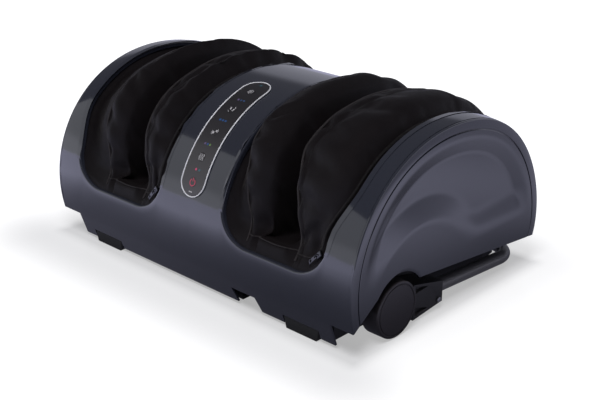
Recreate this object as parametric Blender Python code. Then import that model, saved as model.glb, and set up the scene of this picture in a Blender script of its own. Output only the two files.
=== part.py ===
"""Foot massager: a low barrel-shaped housing with two foot wells lined with black fabric.

Pairs of kneading plates squeeze each foot from both sides and ribbed rollers turn under its
sole. A U-shaped stand bar folds under the housing and turns about the wheels' axles.

Units are metres, +Z is up, +Y is the back and +X the right side. The origin is on the floor,
under the middle of the housing.
"""

import math

import bmesh
import bpy
from mathutils import Vector

mm = 0.001

# Housing: the side outline is two Bezier stretches, front tip to crest and crest to rear tip
WIDTH = 460 * mm
TIP_REACH = 155 * mm
FRONT_TIP_Z = 31 * mm
REAR_TIP_Z = 34 * mm
CREST_Y = -6 * mm
CREST_Z = 205 * mm
FRONT_HANDLE_Y = -21.5 * mm
FRONT_HANDLE_Z = 84.5 * mm
CREST_FRONT_REACH = 111.5 * mm
CREST_REAR_REACH = 142 * mm
REAR_HANDLE_Y = 18.5 * mm
REAR_HANDLE_Z = 45 * mm
CROWN = 4 * mm
CROWN_POWER = 10
WALL = 3 * mm
SEAM = 0.4 * mm
GAP = 0.3 * mm
OVERRUN = 30 * mm
SKIRT_BOTTOM_Z = 4 * mm
SKIRT_TUCK = 9 * mm
SKIRT_INSET = 34 * mm
WING_INSET = 27 * mm

# Foot wells: a rounded U seen from the front, wider at the top, with a lip front and back
WELL_IN_X = 48 * mm
WELL_SIDE = 23.5 * mm
WELL_FLARE = 13.5 * mm
WELL_FLARE_DROP = 39 * mm
WELL_FLARE_RUN = 12 * mm
WELL_CORNER_R = 40 * mm
FRONT_LIP_Z = 75.5 * mm
REAR_LIP_Z = 112 * mm

# Base pan: a tray with a raised rear shelf, under which the stand bar folds, and a rail along each side
PAN_INSET = 37 * mm
PAN_FRONT_TUCK = 13.5 * mm
PAN_REAR_TUCK = 5 * mm
PAN_BOTTOM_Z = 5 * mm
PAN_FLOOR = 3 * mm
PAN_WALL = 2.5 * mm
PAN_SHELF_DEPTH = 40 * mm
PAN_SHELF_Z = 24 * mm
PAN_RIM_Z = 60 * mm
PAN_FRONT_RIM_Z = 22 * mm
PAN_STEP_RUN = 5 * mm
PAN_RAIL_GAP = 6 * mm
PAN_RAIL_Z = 8 * mm

# Rubber feet
FOOT_INSET = 75 * mm
FOOT_WIDTH = 42 * mm
FOOT_DEPTH = 24 * mm
FOOT_HEIGHT = 14 * mm
FOOT_TUCK = 6.5 * mm
FOOT_BEVEL = 3 * mm
FOOT_SLANT = 3.5 * mm
FOOT_STEP_ROOM = 2 * mm

# Finger notch in the lower front edge, beside the right foot
NOTCH_ROOM = 42 * mm
NOTCH_WIDTH = 35 * mm
NOTCH_TOP_Z = 20.5 * mm
NOTCH_FLARE = 8 * mm

# Screw posts under the housing, each tied to the skin by a rib
POST_ROOM = 22 * mm
POST_TUCK = 21 * mm
POST_R = 4.5 * mm
POST_RIB = 2.4 * mm
FRONT_POST_DROP = 9.5 * mm
REAR_POST_DROP = 12 * mm
SCREW_R = 2 * mm
SCREW_HEAD_R = 4 * mm
SCREW_HEAD_H = 2.2 * mm
SCREW_LENGTH = 22 * mm

# Wheels and their axles, on the axis that the stand bar turns about
PIVOT_TUCK = 68 * mm
PIVOT_Z = 31 * mm
WHEEL_R = 30.7 * mm
WHEEL_WIDTH = 22.5 * mm
WHEEL_INSET = 1.5 * mm
WHEEL_EDGE = 2 * mm
WHEEL_BORE_END = 3 * mm
WHEEL_RING = 3.2 * mm
WHEEL_GROOVE = 0.8 * mm
WHEEL_DOME = 1 * mm
AXLE_R = 5 * mm
AXLE_HEAD_R = 9 * mm
AXLE_HEAD = 3 * mm
RUNNING = 0.4 * mm

# Side covers: a flat rim, a fine groove and a shallow dish that stops above the wheel arch
COVER_WALL = 3 * mm
COVER_RIM = 10 * mm
GROOVE_WIDTH = 1.2 * mm
GROOVE_DEPTH = 1.2 * mm
DISH_DEPTH = 5 * mm
DISH_START = 16 * mm
DISH_SLOPE = 19 * mm
FENDER_BEHIND = 37 * mm
FENDER_R = 81 * mm
FENDER_SLOPE = 30 * mm
DISH_LOW_Z = 66 * mm
DISH_LOW_SLOPE = 36 * mm
ARCH_GAP = 10.3 * mm
ARCH_START_DEGREES = 142
ARCH_END_DEGREES = 38
BAND_SHARES = (0.18, 0.36, 0.54, 0.72, 1)

# Stand bar: a steel tube bent to a U, with a moulded arm on each end
TUBE_R = 6.5 * mm
TUBE_WALL = 1.5 * mm
TUBE_INSET = 8 * mm
TUBE_BEHIND = 43 * mm
TUBE_START_Z = 25.2 * mm
TUBE_SLOPE_SHARE = 0.072
TUBE_REAR_TUCK = 11 * mm
TUBE_BEND_R = 32 * mm
ARM_PAN_GAP = 0.5 * mm
ARM_WHEEL_GAP = 1.4 * mm
ARM_INSET = 7.5 * mm
ARM_HUB_R = 17 * mm
ARM_BEHIND = 33.5 * mm
ARM_LENGTH = 49.5 * mm
ARM_TOP_FRONT_Z = 44 * mm
ARM_TOP_REAR_Z = 31.5 * mm
ARM_BOTTOM_FRONT_Z = 3.5 * mm
ARM_BOTTOM_REAR_Z = 8 * mm
POCKET_DEPTH = 4 * mm
POCKET_WEB = 3.5 * mm
PINCH_END = 7 * mm
PINCH_SCREW_DROP = 10.6 * mm
PINCH_SCREW_R = 1.8 * mm
PINCH_HEAD_R = 3 * mm
PINCH_HEAD = 1.6 * mm
PINCH_LENGTH = 16 * mm

# Foot bed, an inverted trough that carries the sole
BED_HALF_WIDTH = 24 * mm
BED_TOP_Z = 62.5 * mm
BED_WALL = 3 * mm
BED_FRONT_TUCK = 43 * mm
BED_REAR_TUCK = 65 * mm
BED_PORT_R = 9 * mm

# Drive shafts, gears and motors
SHAFT_R = 5 * mm
SHAFT_END_GAP = 1.5 * mm
SHAFT_Z = 44 * mm
KNEAD_BED_END = 30 * mm
ROLL_Y = -40 * mm
BUSH_OUT_R = 9 * mm
BUSH_LENGTH = 6 * mm
BOSS_WALL = 3 * mm
GEAR_TEETH = 24
GEAR_MODULE = 1.5 * mm
GEAR_WIDTH = 8 * mm
GEAR_TIP = 1.2 * mm
GEAR_ROOT = 1.8 * mm
TOOTH_TIP_SHARE = 0.17
TOOTH_ROOT_SHARE = 0.30
WORM_PITCH_R = 6 * mm
WORM_TIP = 1.2 * mm
WORM_ROOT = 1.6 * mm
WORM_TURNS = 3
THREAD_SINK_SHARE = 0.9
THREAD_TIP_SHARE = 0.12
THREAD_ROOT_SHARE = 0.27
WORM_SHAFT_R = 3 * mm
WORM_TAIL = 20 * mm
GEARBOX_HALF_WIDTH = 16 * mm
GEARBOX_HALF_LENGTH = 26 * mm
GEARBOX_TOP_Z = 82 * mm
GEARBOX_WALL = 3.5 * mm
GEARBOX_PORT_R = 9 * mm
MOTOR_R = 20 * mm
MOTOR_LENGTH = 54 * mm
MOTOR_BORE = 12 * mm

# Fabric liner: one sewn skin over two lobes with the foot slot between them
SKIN = 2.5 * mm
HEM = 5 * mm
HEM_GAP = 0.8 * mm
SLOT_WIDTH = 37 * mm
LOBE_DIFFERENCE = 10 * mm
INNER_LOBE_SHARES = (0.143, 0.286, 0.49, 0.816, 0.918, 1)
OUTER_LOBE_SHARES = (0.119, 0.288, 0.508, 0.831, 0.932, 1)
LOBE_KINDS = ("valley", "shoulder", "crest", "crest", "edge", "slot")
VALLEY_SINK = 9 * mm
LOBE_SINK = 15 * mm
LOBE_RISE = 10 * mm
LOBE_REAR_RISE = 6 * mm
LOBE_LIP_RUN = 16.5 * mm
LOBE_CREST_DROP = 23 * mm
EDGE_DROP = 4 * mm
SLOT_BED_GAP = 7.5 * mm
SLOT_FRONT_RUN = 10 * mm
SLOT_BEND = 20 * mm
SLOT_REAR_BEND = 27 * mm
SLOT_REAR_RISE = 30 * mm
SLOT_REAR_LIP = 12 * mm
SLOT_HEEL_LIFT = 12.5 * mm

# Kneading plates on wobble hubs, and the roller under each sole
PLATE_SHARE = 0.47
PLATE_THICK = 8 * mm
PLATE_SINK = 17 * mm
PLATE_FRONT_RISE = 24.5 * mm
PLATE_REAR_RISE = 23 * mm
PLATE_HUB_R = 22 * mm
HUB_R = 14 * mm
HUB_LENGTH = 14 * mm
HUB_CLEARANCE = 0.7 * mm
ROLLER_R = 21 * mm
ROLLER_WAIST_R = 13 * mm
ROLLER_WIDTH = 34 * mm
ROLLER_CLEARANCE = 0.9 * mm
ROLLER_RIBS = 3
RIB_SHARES = (0.28, 0.72)

# Control panel on the ridge between the wells
PANEL_LOW_Z = 109 * mm
PANEL_HIGH_Y = -40 * mm
PANEL_HALF_WIDTH = 16.5 * mm
PANEL_THICK = 1.2 * mm
BEZEL_WIDTH = 1.8 * mm
BEZEL_THICK = 1.6 * mm
WINDOW_HALF_WIDTH = 8 * mm
WINDOW_SHARES = (0.045, 0.935)
KEY_R = 5 * mm
KEY_TRAVEL = 0.6 * mm
KEY_LENGTH = 6 * mm
KEY_PROUD = 0.2 * mm
KEY_FLANGE_R = 6.8 * mm
KEY_FLANGE = 1.2 * mm
KEY_FLANGE_DROP = 0.9 * mm
KEY_SHARES = (0.10, 0.29, 0.49, 0.69, 0.88)
KEY_NAMES = ("power", "heat", "roller", "kneading", "auto")
BOARD_THICK = 1.2 * mm
BOARD_HALF_WIDTH = 13 * mm
BOARD_KEY_GAP = 0.15 * mm

# Electrics in the base
POWER_BOARD_HALF_WIDTH = 45 * mm
POWER_BOARD_TUCK = 36 * mm
POWER_BOARD_ROOM = 9 * mm
POWER_BOARD_Z = 12 * mm
POWER_BOARD_THICK = 1.6 * mm
TRANSFORMER_HALF_WIDTH = 14 * mm
TRANSFORMER_HALF_DEPTH = 11 * mm
TRANSFORMER_HEIGHT = 18 * mm
INLET_Z = 62 * mm
INLET_HALF_WIDTH = 14 * mm
INLET_HALF_HEIGHT = 10 * mm
INLET_DEPTH = 24 * mm
INLET_SET_BACK = 1.5 * mm
SOCKET_DEPTH = 15 * mm
SOCKET_WALL = 2.5 * mm
CONTACT_HALF_WIDTH = 1 * mm
CONTACT_HALF_HEIGHT = 2.5 * mm
CONTACT_SPACING = 7 * mm

# How finely round shapes are divided
OUTLINE_STEP_COUNT = 16
FINE_COUNT = 24
MIDDLE_COUNT = 16
COARSE_COUNT = 12
RING_COUNT = 18
CORNER_COUNT = 6
SHARP_DEGREES = 35

HALF = WIDTH / 2
COVER_IN_X = HALF - COVER_WALL
SKIRT_HALF_WIDTH = HALF - SKIRT_INSET
WING_INNER_X = HALF - WING_INSET
WELL_OUT_HIGH_X = HALF - WELL_SIDE
WELL_OUT_LOW_X = WELL_OUT_HIGH_X - WELL_FLARE
WELL_FLARE_Z = CREST_Z - WELL_FLARE_DROP
PAN_HALF_WIDTH = HALF - PAN_INSET
PAN_FRONT_Y = PAN_FRONT_TUCK - TIP_REACH
PAN_REAR_Y = TIP_REACH - PAN_REAR_TUCK
PAN_STEP_Y = PAN_REAR_Y - PAN_SHELF_DEPTH
FLOOR_TOP_Z = PAN_BOTTOM_Z + PAN_FLOOR
FOOT_X = HALF - FOOT_INSET
FOOT_FRONT_Y = FOOT_TUCK - TIP_REACH
REAR_FOOT_Y = PAN_STEP_Y - FOOT_STEP_ROOM - FOOT_DEPTH
NOTCH_RIGHT_X = FOOT_X - FOOT_WIDTH / 2 - NOTCH_ROOM
NOTCH_LEFT_X = NOTCH_RIGHT_X - NOTCH_WIDTH
POST_X = FOOT_X - FOOT_WIDTH / 2 - POST_ROOM
POST_Y = TIP_REACH - POST_TUCK
FRONT_POST_TOP_Z = FRONT_LIP_Z - FRONT_POST_DROP
REAR_POST_TOP_Z = REAR_LIP_Z - REAR_POST_DROP
INLET_X = -(MOTOR_R + POST_X) / 2
PIVOT_Y = PIVOT_TUCK - TIP_REACH
WHEEL_OUT_X = HALF - WHEEL_INSET
ARCH_R = WHEEL_R + ARCH_GAP
FENDER_Y = PIVOT_Y + FENDER_BEHIND
ARM_IN_X = PAN_HALF_WIDTH + ARM_PAN_GAP
ARM_HUB_OUT_X = WHEEL_OUT_X - WHEEL_WIDTH - ARM_WHEEL_GAP
ARM_OUT_X = HALF - ARM_INSET
ARM_FRONT_Y = PIVOT_Y + ARM_BEHIND
ARM_REAR_Y = ARM_FRONT_Y + ARM_LENGTH
TUBE_X = ARM_OUT_X - TUBE_INSET
TUBE_START_Y = PIVOT_Y + TUBE_BEHIND
TUBE_REAR_Y = TIP_REACH - TUBE_REAR_TUCK
PAN_RAIL_REAR_Y = TUBE_REAR_Y - TUBE_R - PAN_RAIL_GAP
PINCH_SCREW_Y = ARM_REAR_Y - PINCH_END
BED_FRONT_Y = BED_FRONT_TUCK - TIP_REACH
BED_REAR_Y = TIP_REACH - BED_REAR_TUCK
KNEAD_Y = BED_REAR_Y - KNEAD_BED_END
SHAFT_END_X = PAN_HALF_WIDTH - PAN_WALL - SHAFT_END_GAP
WORM_Z = SHAFT_Z + GEAR_TEETH * GEAR_MODULE / 2 + WORM_PITCH_R
INNER_LOBE_WIDTH = (WELL_OUT_LOW_X - WELL_IN_X - SLOT_WIDTH - LOBE_DIFFERENCE) / 2
OUTER_LOBE_WIDTH = INNER_LOBE_WIDTH + LOBE_DIFFERENCE
SLOT_CENTRE_X = WELL_IN_X + INNER_LOBE_WIDTH + SLOT_WIDTH / 2
INNER_PLATE_X = WELL_IN_X + INNER_LOBE_WIDTH * PLATE_SHARE
OUTER_PLATE_X = WELL_OUT_LOW_X - OUTER_LOBE_WIDTH * PLATE_SHARE
LOBE_LOW_Z = FRONT_LIP_Z + LOBE_LIP_RUN
LOBE_HIGH_Z = CREST_Z - LOBE_CREST_DROP
SLOT_FLOOR_Z = BED_TOP_Z + SLOT_BED_GAP
SLOT_REAR_Z = REAR_LIP_Z + SLOT_REAR_RISE
PLATE_FRONT_Z = FRONT_LIP_Z + PLATE_FRONT_RISE
PLATE_REAR_Z = REAR_LIP_Z + PLATE_REAR_RISE
POWER_BOARD_FRONT_Y = POWER_BOARD_TUCK - TIP_REACH
POWER_BOARD_REAR_Y = ROLL_Y - GEARBOX_HALF_LENGTH - POWER_BOARD_ROOM
POWER_BOARD_Y = (POWER_BOARD_FRONT_Y + POWER_BOARD_REAR_Y) / 2
POWER_BOARD_HALF_DEPTH = (POWER_BOARD_REAR_Y - POWER_BOARD_FRONT_Y) / 2


def clear_scene():
    for obj in list(bpy.data.objects):
        bpy.data.objects.remove(obj)


def material(name, colour, roughness, metallic=0.0):
    made = bpy.data.materials.new(name)
    made.use_nodes = True
    shader = made.node_tree.nodes["Principled BSDF"]
    shader.inputs["Base Color"].default_value = (*colour, 1)
    shader.inputs["Roughness"].default_value = roughness
    shader.inputs["Metallic"].default_value = metallic
    made.diffuse_color = (*colour, 1)
    return made


clear_scene()
GLOSS = material("housing_gloss", (0.075, 0.080, 0.110), 0.12)
BLACK = material("black_plastic", (0.018, 0.018, 0.020), 0.45)
RUBBER = material("rubber", (0.012, 0.012, 0.013), 0.8)
FABRIC = material("fabric", (0.010, 0.010, 0.011), 0.9)
STEEL = material("steel", (0.55, 0.55, 0.57), 0.3, 1.0)
BRASS = material("brass", (0.70, 0.52, 0.22), 0.35, 1.0)
NYLON = material("nylon", (0.75, 0.74, 0.70), 0.5)
SILVER = material("silver_trim", (0.70, 0.71, 0.73), 0.25, 1.0)
SMOKE = material("panel_smoke", (0.045, 0.045, 0.052), 0.15)
GREEN = material("board_green", (0.02, 0.15, 0.06), 0.5)
BAR_PAINT = material("bar_paint", (0.020, 0.020, 0.022), 0.35)


def mesh_object(name, points, faces, finish):
    """A closed mesh with its faces turned outwards."""
    mesh = bpy.data.meshes.new(name)
    mesh.from_pydata([tuple(p) for p in points], [], faces)
    work = bmesh.new()
    work.from_mesh(mesh)
    bmesh.ops.recalc_face_normals(work, faces=work.faces)
    work.to_mesh(mesh)
    work.free()
    mesh.materials.append(finish)
    mesh.set_sharp_from_angle(angle=math.radians(SHARP_DEGREES))
    obj = bpy.data.objects.new(name, mesh)
    bpy.context.scene.collection.objects.link(obj)
    return obj


def loft(name, rings, finish, closed_path=False):
    """Joins rings of the same number of points, in order, and caps both ends."""
    size = len(rings[0])
    points = [p for ring in rings for p in ring]
    faces = []
    for i in range(len(rings) - (0 if closed_path else 1)):
        a, b = i * size, (i + 1) % len(rings) * size
        for j in range(size):
            k = (j + 1) % size
            faces.append((a + j, a + k, b + k, b + j))
    if not closed_path:
        faces.append(tuple(range(size)))
        faces.append(tuple(range(len(points) - size, len(points))))
    return mesh_object(name, points, faces, finish)


def place(axis, along, u, v):
    """A point at `along` on an axis and (u, v) across it."""
    if axis == "X":
        return Vector((along, u, v))
    if axis == "Y":
        return Vector((u, along, v))
    return Vector((u, v, along))


def prism(name, outline, axis, low, high, finish=BLACK):
    """An outline across an axis, drawn out from low to high along it."""
    rings = [[place(axis, along, u, v) for u, v in outline] for along in (low, high)]
    return loft(name, rings, finish)


def circle(u, v, radius, count=FINE_COUNT):
    steps = [2 * math.pi * i / count for i in range(count)]
    return [(u + radius * math.cos(a), v + radius * math.sin(a)) for a in steps]


def cylinder(name, axis, low, high, u, v, radius, finish=BLACK, count=FINE_COUNT):
    return prism(name, circle(u, v, radius, count), axis, low, high, finish)


def rectangle(u, v, half_u, half_v):
    left, right, low, high = u - half_u, u + half_u, v - half_v, v + half_v
    return [(left, low), (right, low), (right, high), (left, high)]


def turned(name, profile, u, v, finish, count=FINE_COUNT):
    """A profile of (x, radius) turned about an X axis through (y, z) = (u, v)."""
    points, faces, rows = [], [], []
    for x, radius in profile:
        if radius == 0:
            rows.append([len(points)] * count)
            points.append(Vector((x, u, v)))
            continue
        rows.append(list(range(len(points), len(points) + count)))
        points += [Vector((x, y, z)) for y, z in circle(u, v, radius, count)]
    ends_on_axis = profile[0][1] == 0 and profile[-1][1] == 0
    for i in range(len(rows) - (1 if ends_on_axis else 0)):
        a, b = rows[i], rows[(i + 1) % len(rows)]
        for j in range(count):
            k = (j + 1) % count
            corners = list(dict.fromkeys((a[j], a[k], b[k], b[j])))
            if len(corners) > 2:
                faces.append(corners)
    return mesh_object(name, points, faces, finish)


def boolean(obj, tool, operation):
    """Cuts or joins obj with a tool, which is used up."""
    step = obj.modifiers.new(operation.lower(), "BOOLEAN")
    step.operation = operation
    step.object = tool
    bpy.context.view_layer.objects.active = obj
    bpy.ops.object.modifier_apply(modifier=step.name)
    bpy.data.objects.remove(tool)
    return obj


def cut(obj, *tools):
    for tool in tools:
        boolean(obj, tool, "DIFFERENCE")
    return obj


def join(obj, *tools):
    for tool in tools:
        boolean(obj, tool, "UNION")
    return obj


def sides():
    """The name and the sign of X of each side."""
    return (("left", -1), ("right", 1))


def bezier(a, b, c, d, t):
    weights = ((1 - t) ** 3, 3 * (1 - t) ** 2 * t, 3 * (1 - t) * t * t, t**3)
    return Vector((0, 0)) + sum((w * p for w, p in zip(weights, (a, b, c, d))), Vector((0, 0)))


def side_curve(t):
    """(y, z) on the side outline: t is 0 at the front tip, 1 at the crest and 2 at the rear tip."""
    crest = Vector((CREST_Y, CREST_Z))
    if t <= 1:
        tip = Vector((-TIP_REACH, FRONT_TIP_Z))
        handle = tip + Vector((FRONT_HANDLE_Y, FRONT_HANDLE_Z))
        return bezier(tip, handle, crest - Vector((CREST_FRONT_REACH, 0)), crest, t)
    tip = Vector((TIP_REACH, REAR_TIP_Z))
    handle = tip + Vector((REAR_HANDLE_Y, REAR_HANDLE_Z))
    return bezier(crest, crest + Vector((CREST_REAR_REACH, 0)), handle, tip, t - 1)


def side_normal(t):
    """The outward direction across the side outline."""
    step = 1e-3
    low, high = max(t - step, 0), min(t + step, 2)
    along = side_curve(high) - side_curve(low)
    return Vector((-along.y, along.x)).normalized()


def crown(x, t):
    """How far the housing swells beyond its side outline: most in the middle and at the top."""
    height = (side_curve(t).y - FRONT_TIP_Z) / (CREST_Z - FRONT_TIP_Z)
    return CROWN * (1 - min(abs(x) / HALF, 1) ** CROWN_POWER) * max(height, 0) ** 2


def skin_point(x, t, offset=0.0):
    """A point on the housing's outer skin, or `offset` outside it."""
    y, z = side_curve(t) + side_normal(t) * (crown(x, t) + offset)
    return Vector((x, y, z))


def t_at_height(z, rear=False):
    low, high = (1, 2) if rear else (0, 1)
    for _ in range(40):
        middle = (low + high) / 2
        if (side_curve(middle).y < z) == rear:
            high = middle
        else:
            low = middle
    return (low + high) / 2


def t_at_front_y(y):
    low, high = 0.3, 1
    for _ in range(40):
        middle = (low + high) / 2
        if side_curve(middle).x < y:
            low = middle
        else:
            high = middle
    return (low + high) / 2


def well_outline(lip_z):
    """The right well's opening from the front, open at the top, as (x, z) points."""
    top = CREST_Z + OVERRUN
    quarter = [math.pi / 2 * i / CORNER_COUNT for i in range(CORNER_COUNT + 1)]
    r = WELL_CORNER_R
    points = [(WELL_IN_X, top)]
    points += [(WELL_IN_X + r - r * math.cos(a), lip_z + r - r * math.sin(a)) for a in quarter]
    points += [(WELL_OUT_LOW_X - r + r * math.sin(a), lip_z + r - r * math.cos(a)) for a in quarter]
    points += [(WELL_OUT_HIGH_X, max(WELL_FLARE_Z, lip_z + r + WELL_FLARE_RUN)), (WELL_OUT_HIGH_X, top)]
    return points


def hem_height(x, lip_z):
    """The height of the fabric's lower edge at x: it follows the opening, HEM outside it."""
    r = WELL_CORNER_R
    inset = min(x - WELL_IN_X, WELL_OUT_LOW_X - x)
    if inset >= r:
        return lip_z - HEM
    return lip_z + r - math.sqrt(max((r + HEM) ** 2 - (r - inset) ** 2, 0))


def outer_rim_x(z, lip_z):
    """The x of the opening's outer edge, above its corner."""
    start = lip_z + WELL_CORNER_R
    top = max(WELL_FLARE_Z, start + WELL_FLARE_RUN)
    share = min(max((z - start) / (top - start), 0), 1)
    return WELL_OUT_LOW_X + (WELL_OUT_HIGH_X - WELL_OUT_LOW_X) * share


def mirrored(outline, sign):
    return [(sign * u, v) for u, v in outline]


def notch_cutters():
    """The finger notch and the two foot recesses in the lower front edge."""
    below = SKIRT_BOTTOM_Z - OVERRUN
    notch = [(NOTCH_LEFT_X + NOTCH_FLARE, below), (NOTCH_LEFT_X + NOTCH_FLARE, SKIRT_BOTTOM_Z),
             (NOTCH_LEFT_X, NOTCH_TOP_Z), (NOTCH_RIGHT_X, NOTCH_TOP_Z),
             (NOTCH_RIGHT_X + NOTCH_FLARE, SKIRT_BOTTOM_Z), (NOTCH_RIGHT_X + NOTCH_FLARE, below)]
    front, back = -TIP_REACH - OVERRUN, FOOT_FRONT_Y + FOOT_DEPTH + GAP
    made = [prism("cutter", notch, "Y", front, back)]
    for _, sign in sides():
        half = FOOT_WIDTH / 2 + FOOT_SLANT + GAP
        recess = rectangle(sign * FOOT_X, below, half, FOOT_HEIGHT + GAP - below)
        made.append(prism("cutter", recess, "Y", front, back))
    return made


def top_shell():
    """The glossy upper housing, one moulding with both wells open in it."""
    share_steps = (0, 0.3, 0.7, 0.88, 0.96, 1)
    half = COVER_IN_X - SEAM
    stations = [-half * s for s in share_steps[:0:-1]] + [half * s for s in share_steps]
    steps = [i / OUTLINE_STEP_COUNT for i in range(2 * OUTLINE_STEP_COUNT + 1)]
    rings = []
    for x in stations:
        skirt_y = -TIP_REACH + SKIRT_TUCK
        outer = [Vector((x, skirt_y, SKIRT_BOTTOM_Z))] + [skin_point(x, t) for t in steps]
        inner = [skin_point(x, t, -WALL) for t in reversed(steps)]
        inner.append(Vector((x, skirt_y + WALL, SKIRT_BOTTOM_Z)))
        rings.append(outer + inner)
    shell = loft("top_shell", rings, GLOSS)
    far = TIP_REACH + OVERRUN
    for _, sign in sides():
        cut(shell, prism("cutter", mirrored(well_outline(FRONT_LIP_Z), sign), "Y", -far, 0))
        cut(shell, prism("cutter", mirrored(well_outline(REAR_LIP_Z), sign), "Y", -GAP, far))
        below = SKIRT_BOTTOM_Z - OVERRUN
        wing = [(SKIRT_HALF_WIDTH, below), (SKIRT_HALF_WIDTH, SKIRT_BOTTOM_Z), (WING_INNER_X, FRONT_TIP_Z),
                (HALF + OVERRUN, FRONT_TIP_Z), (HALF + OVERRUN, below)]
        cut(shell, prism("cutter", mirrored(wing, sign), "Y", -far, far))
    cut(shell, *notch_cutters())
    t_low, t_high = panel_span()
    low, high = (t_low + (t_high - t_low) * share for share in WINDOW_SHARES)
    window = ribbon("cutter", low, high, lambda s: WINDOW_HALF_WIDTH, WALL, -WALL * 2, BLACK)
    inlet = rectangle(INLET_X, INLET_Z, INLET_HALF_WIDTH + GAP, INLET_HALF_HEIGHT + GAP)
    cut(shell, window, prism("cutter", inlet, "Y", TIP_REACH - OVERRUN, far))
    for _, sign in sides():
        x = sign * POST_X
        for y, low_z, high_z in ((-POST_Y, FLOOR_TOP_Z + GAP, FRONT_POST_TOP_Z),
                                 (POST_Y, PAN_SHELF_Z + PAN_FLOOR + GAP, REAR_POST_TOP_Z)):
            direction = 1 if y > 0 else -1
            post = cylinder("post", "Z", low_z, high_z, x, y, POST_R, count=COARSE_COUNT)
            wall_y = direction * (TIP_REACH - WALL / 3)
            rib = prism("rib", rectangle(x, (y + wall_y) / 2, POST_RIB / 2, abs(wall_y - y) / 2),
                        "Z", FRONT_TIP_Z + POST_R, high_z - POST_R)
            join(shell, join(post, rib))
            cut(shell, cylinder("cutter", "Z", low_z - POST_R, low_z + SCREW_LENGTH, x, y, SCREW_R + GAP / 2,
                                BLACK, COARSE_COUNT))
    return shell


def base_pan():
    """The black tray that closes the housing from below and carries the drives."""
    outer = [(PAN_FRONT_Y, PAN_BOTTOM_Z), (PAN_STEP_Y, PAN_BOTTOM_Z), (PAN_STEP_Y + PAN_STEP_RUN, PAN_SHELF_Z),
             (PAN_REAR_Y, PAN_SHELF_Z), (PAN_REAR_Y, PAN_RIM_Z), (PAN_FRONT_Y, PAN_RIM_Z)]
    inside_top = PAN_RIM_Z + OVERRUN
    inner = [(PAN_FRONT_Y + PAN_WALL, FLOOR_TOP_Z), (PAN_STEP_Y - PAN_FLOOR, FLOOR_TOP_Z),
             (PAN_STEP_Y + PAN_STEP_RUN - PAN_FLOOR, PAN_SHELF_Z + PAN_FLOOR),
             (PAN_REAR_Y - PAN_WALL, PAN_SHELF_Z + PAN_FLOOR), (PAN_REAR_Y - PAN_WALL, inside_top),
             (PAN_FRONT_Y + PAN_WALL, inside_top)]
    pan = prism("base_pan", outer, "X", -PAN_HALF_WIDTH, PAN_HALF_WIDTH)
    inner_half = PAN_HALF_WIDTH - PAN_WALL
    cut(pan, prism("cutter", inner, "X", -inner_half, inner_half))
    front = rectangle(0, PAN_FRONT_Y, inner_half, PAN_WALL * 2)
    cut(pan, prism("cutter", front, "Z", PAN_FRONT_RIM_Z, inside_top))
    cut(pan, *notch_cutters())
    rail = [(PAN_STEP_Y - PAN_FLOOR / 2, PAN_BOTTOM_Z + GAP), (PAN_STEP_Y + PAN_STEP_RUN, PAN_BOTTOM_Z + GAP),
            (PAN_RAIL_REAR_Y, PAN_RAIL_Z), (PAN_RAIL_REAR_Y, PAN_SHELF_Z + PAN_FLOOR / 2),
            (PAN_STEP_Y - PAN_FLOOR / 2, PAN_SHELF_Z + PAN_FLOOR / 2)]
    for _, sign in sides():
        across = sorted((sign * (inner_half + GAP), sign * (PAN_HALF_WIDTH - GAP)))
        join(pan, prism("rail", rail, "X", *across))
    for _, sign in sides():
        for y in (KNEAD_Y, ROLL_Y):
            wall = sign * (PAN_HALF_WIDTH - PAN_WALL / 2)
            tip = sign * (SHAFT_END_X + GAP - BUSH_LENGTH)
            join(pan, cylinder("boss", "X", *sorted((wall, tip)), y, SHAFT_Z, BUSH_OUT_R + GAP + BOSS_WALL,
                               count=COARSE_COUNT))
            face = sign * inner_half
            past = sign * (SHAFT_END_X - BUSH_LENGTH - OVERRUN)
            cut(pan, cylinder("cutter", "X", *sorted((face, past)), y, SHAFT_Z, BUSH_OUT_R + GAP,
                              count=RING_COUNT))
        inside, outside = sign * (inner_half - OVERRUN), sign * (PAN_HALF_WIDTH + OVERRUN)
        cut(pan, cylinder("cutter", "X", *sorted((inside, outside)), PIVOT_Y, PIVOT_Z, AXLE_R + GAP))
        for y, z in ((-POST_Y, PAN_BOTTOM_Z), (POST_Y, PAN_SHELF_Z)):
            cut(pan, cylinder("cutter", "Z", z - PAN_FLOOR, z + 2 * PAN_FLOOR, sign * POST_X, y, SCREW_R + GAP,
                              count=COARSE_COUNT))
        slot = rectangle(sign * POST_X, PAN_REAR_Y, POST_RIB / 2 + GAP, PAN_WALL * 2)
        cut(pan, prism("cutter", slot, "Z", FRONT_TIP_Z + POST_R - GAP, inside_top))
        half_x, half_y = POWER_BOARD_HALF_WIDTH, POWER_BOARD_HALF_DEPTH
        for y in (POWER_BOARD_Y - half_y + POST_R, POWER_BOARD_Y + half_y - POST_R):
            post = cylinder("post", "Z", PAN_BOTTOM_Z + PAN_FLOOR / 2, POWER_BOARD_Z - GAP,
                            sign * (half_x - POST_R), y, POST_R / 2, count=COARSE_COUNT)
            join(pan, post)
    inlet = rectangle(INLET_X, INLET_Z, INLET_HALF_WIDTH + GAP, INLET_HALF_HEIGHT + GAP)
    return cut(pan, prism("cutter", inlet, "Y", PAN_REAR_Y - OVERRUN / 2, PAN_REAR_Y + OVERRUN))


def base_screws():
    number = 0
    for _, sign in sides():
        for y, z in ((-POST_Y, PAN_BOTTOM_Z), (POST_Y, PAN_SHELF_Z)):
            number += 1
            x = sign * POST_X
            head_top = z - GAP
            screw = cylinder(f"base_screw_{number}", "Z", head_top - SCREW_HEAD_H, head_top, x, y, SCREW_HEAD_R,
                             STEEL, COARSE_COUNT)
            shank = cylinder("shank", "Z", head_top - SCREW_HEAD_H / 2, z + SCREW_LENGTH, x, y,
                             SCREW_R - GAP / 2, STEEL, COARSE_COUNT)
            join(screw, shank)


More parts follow.
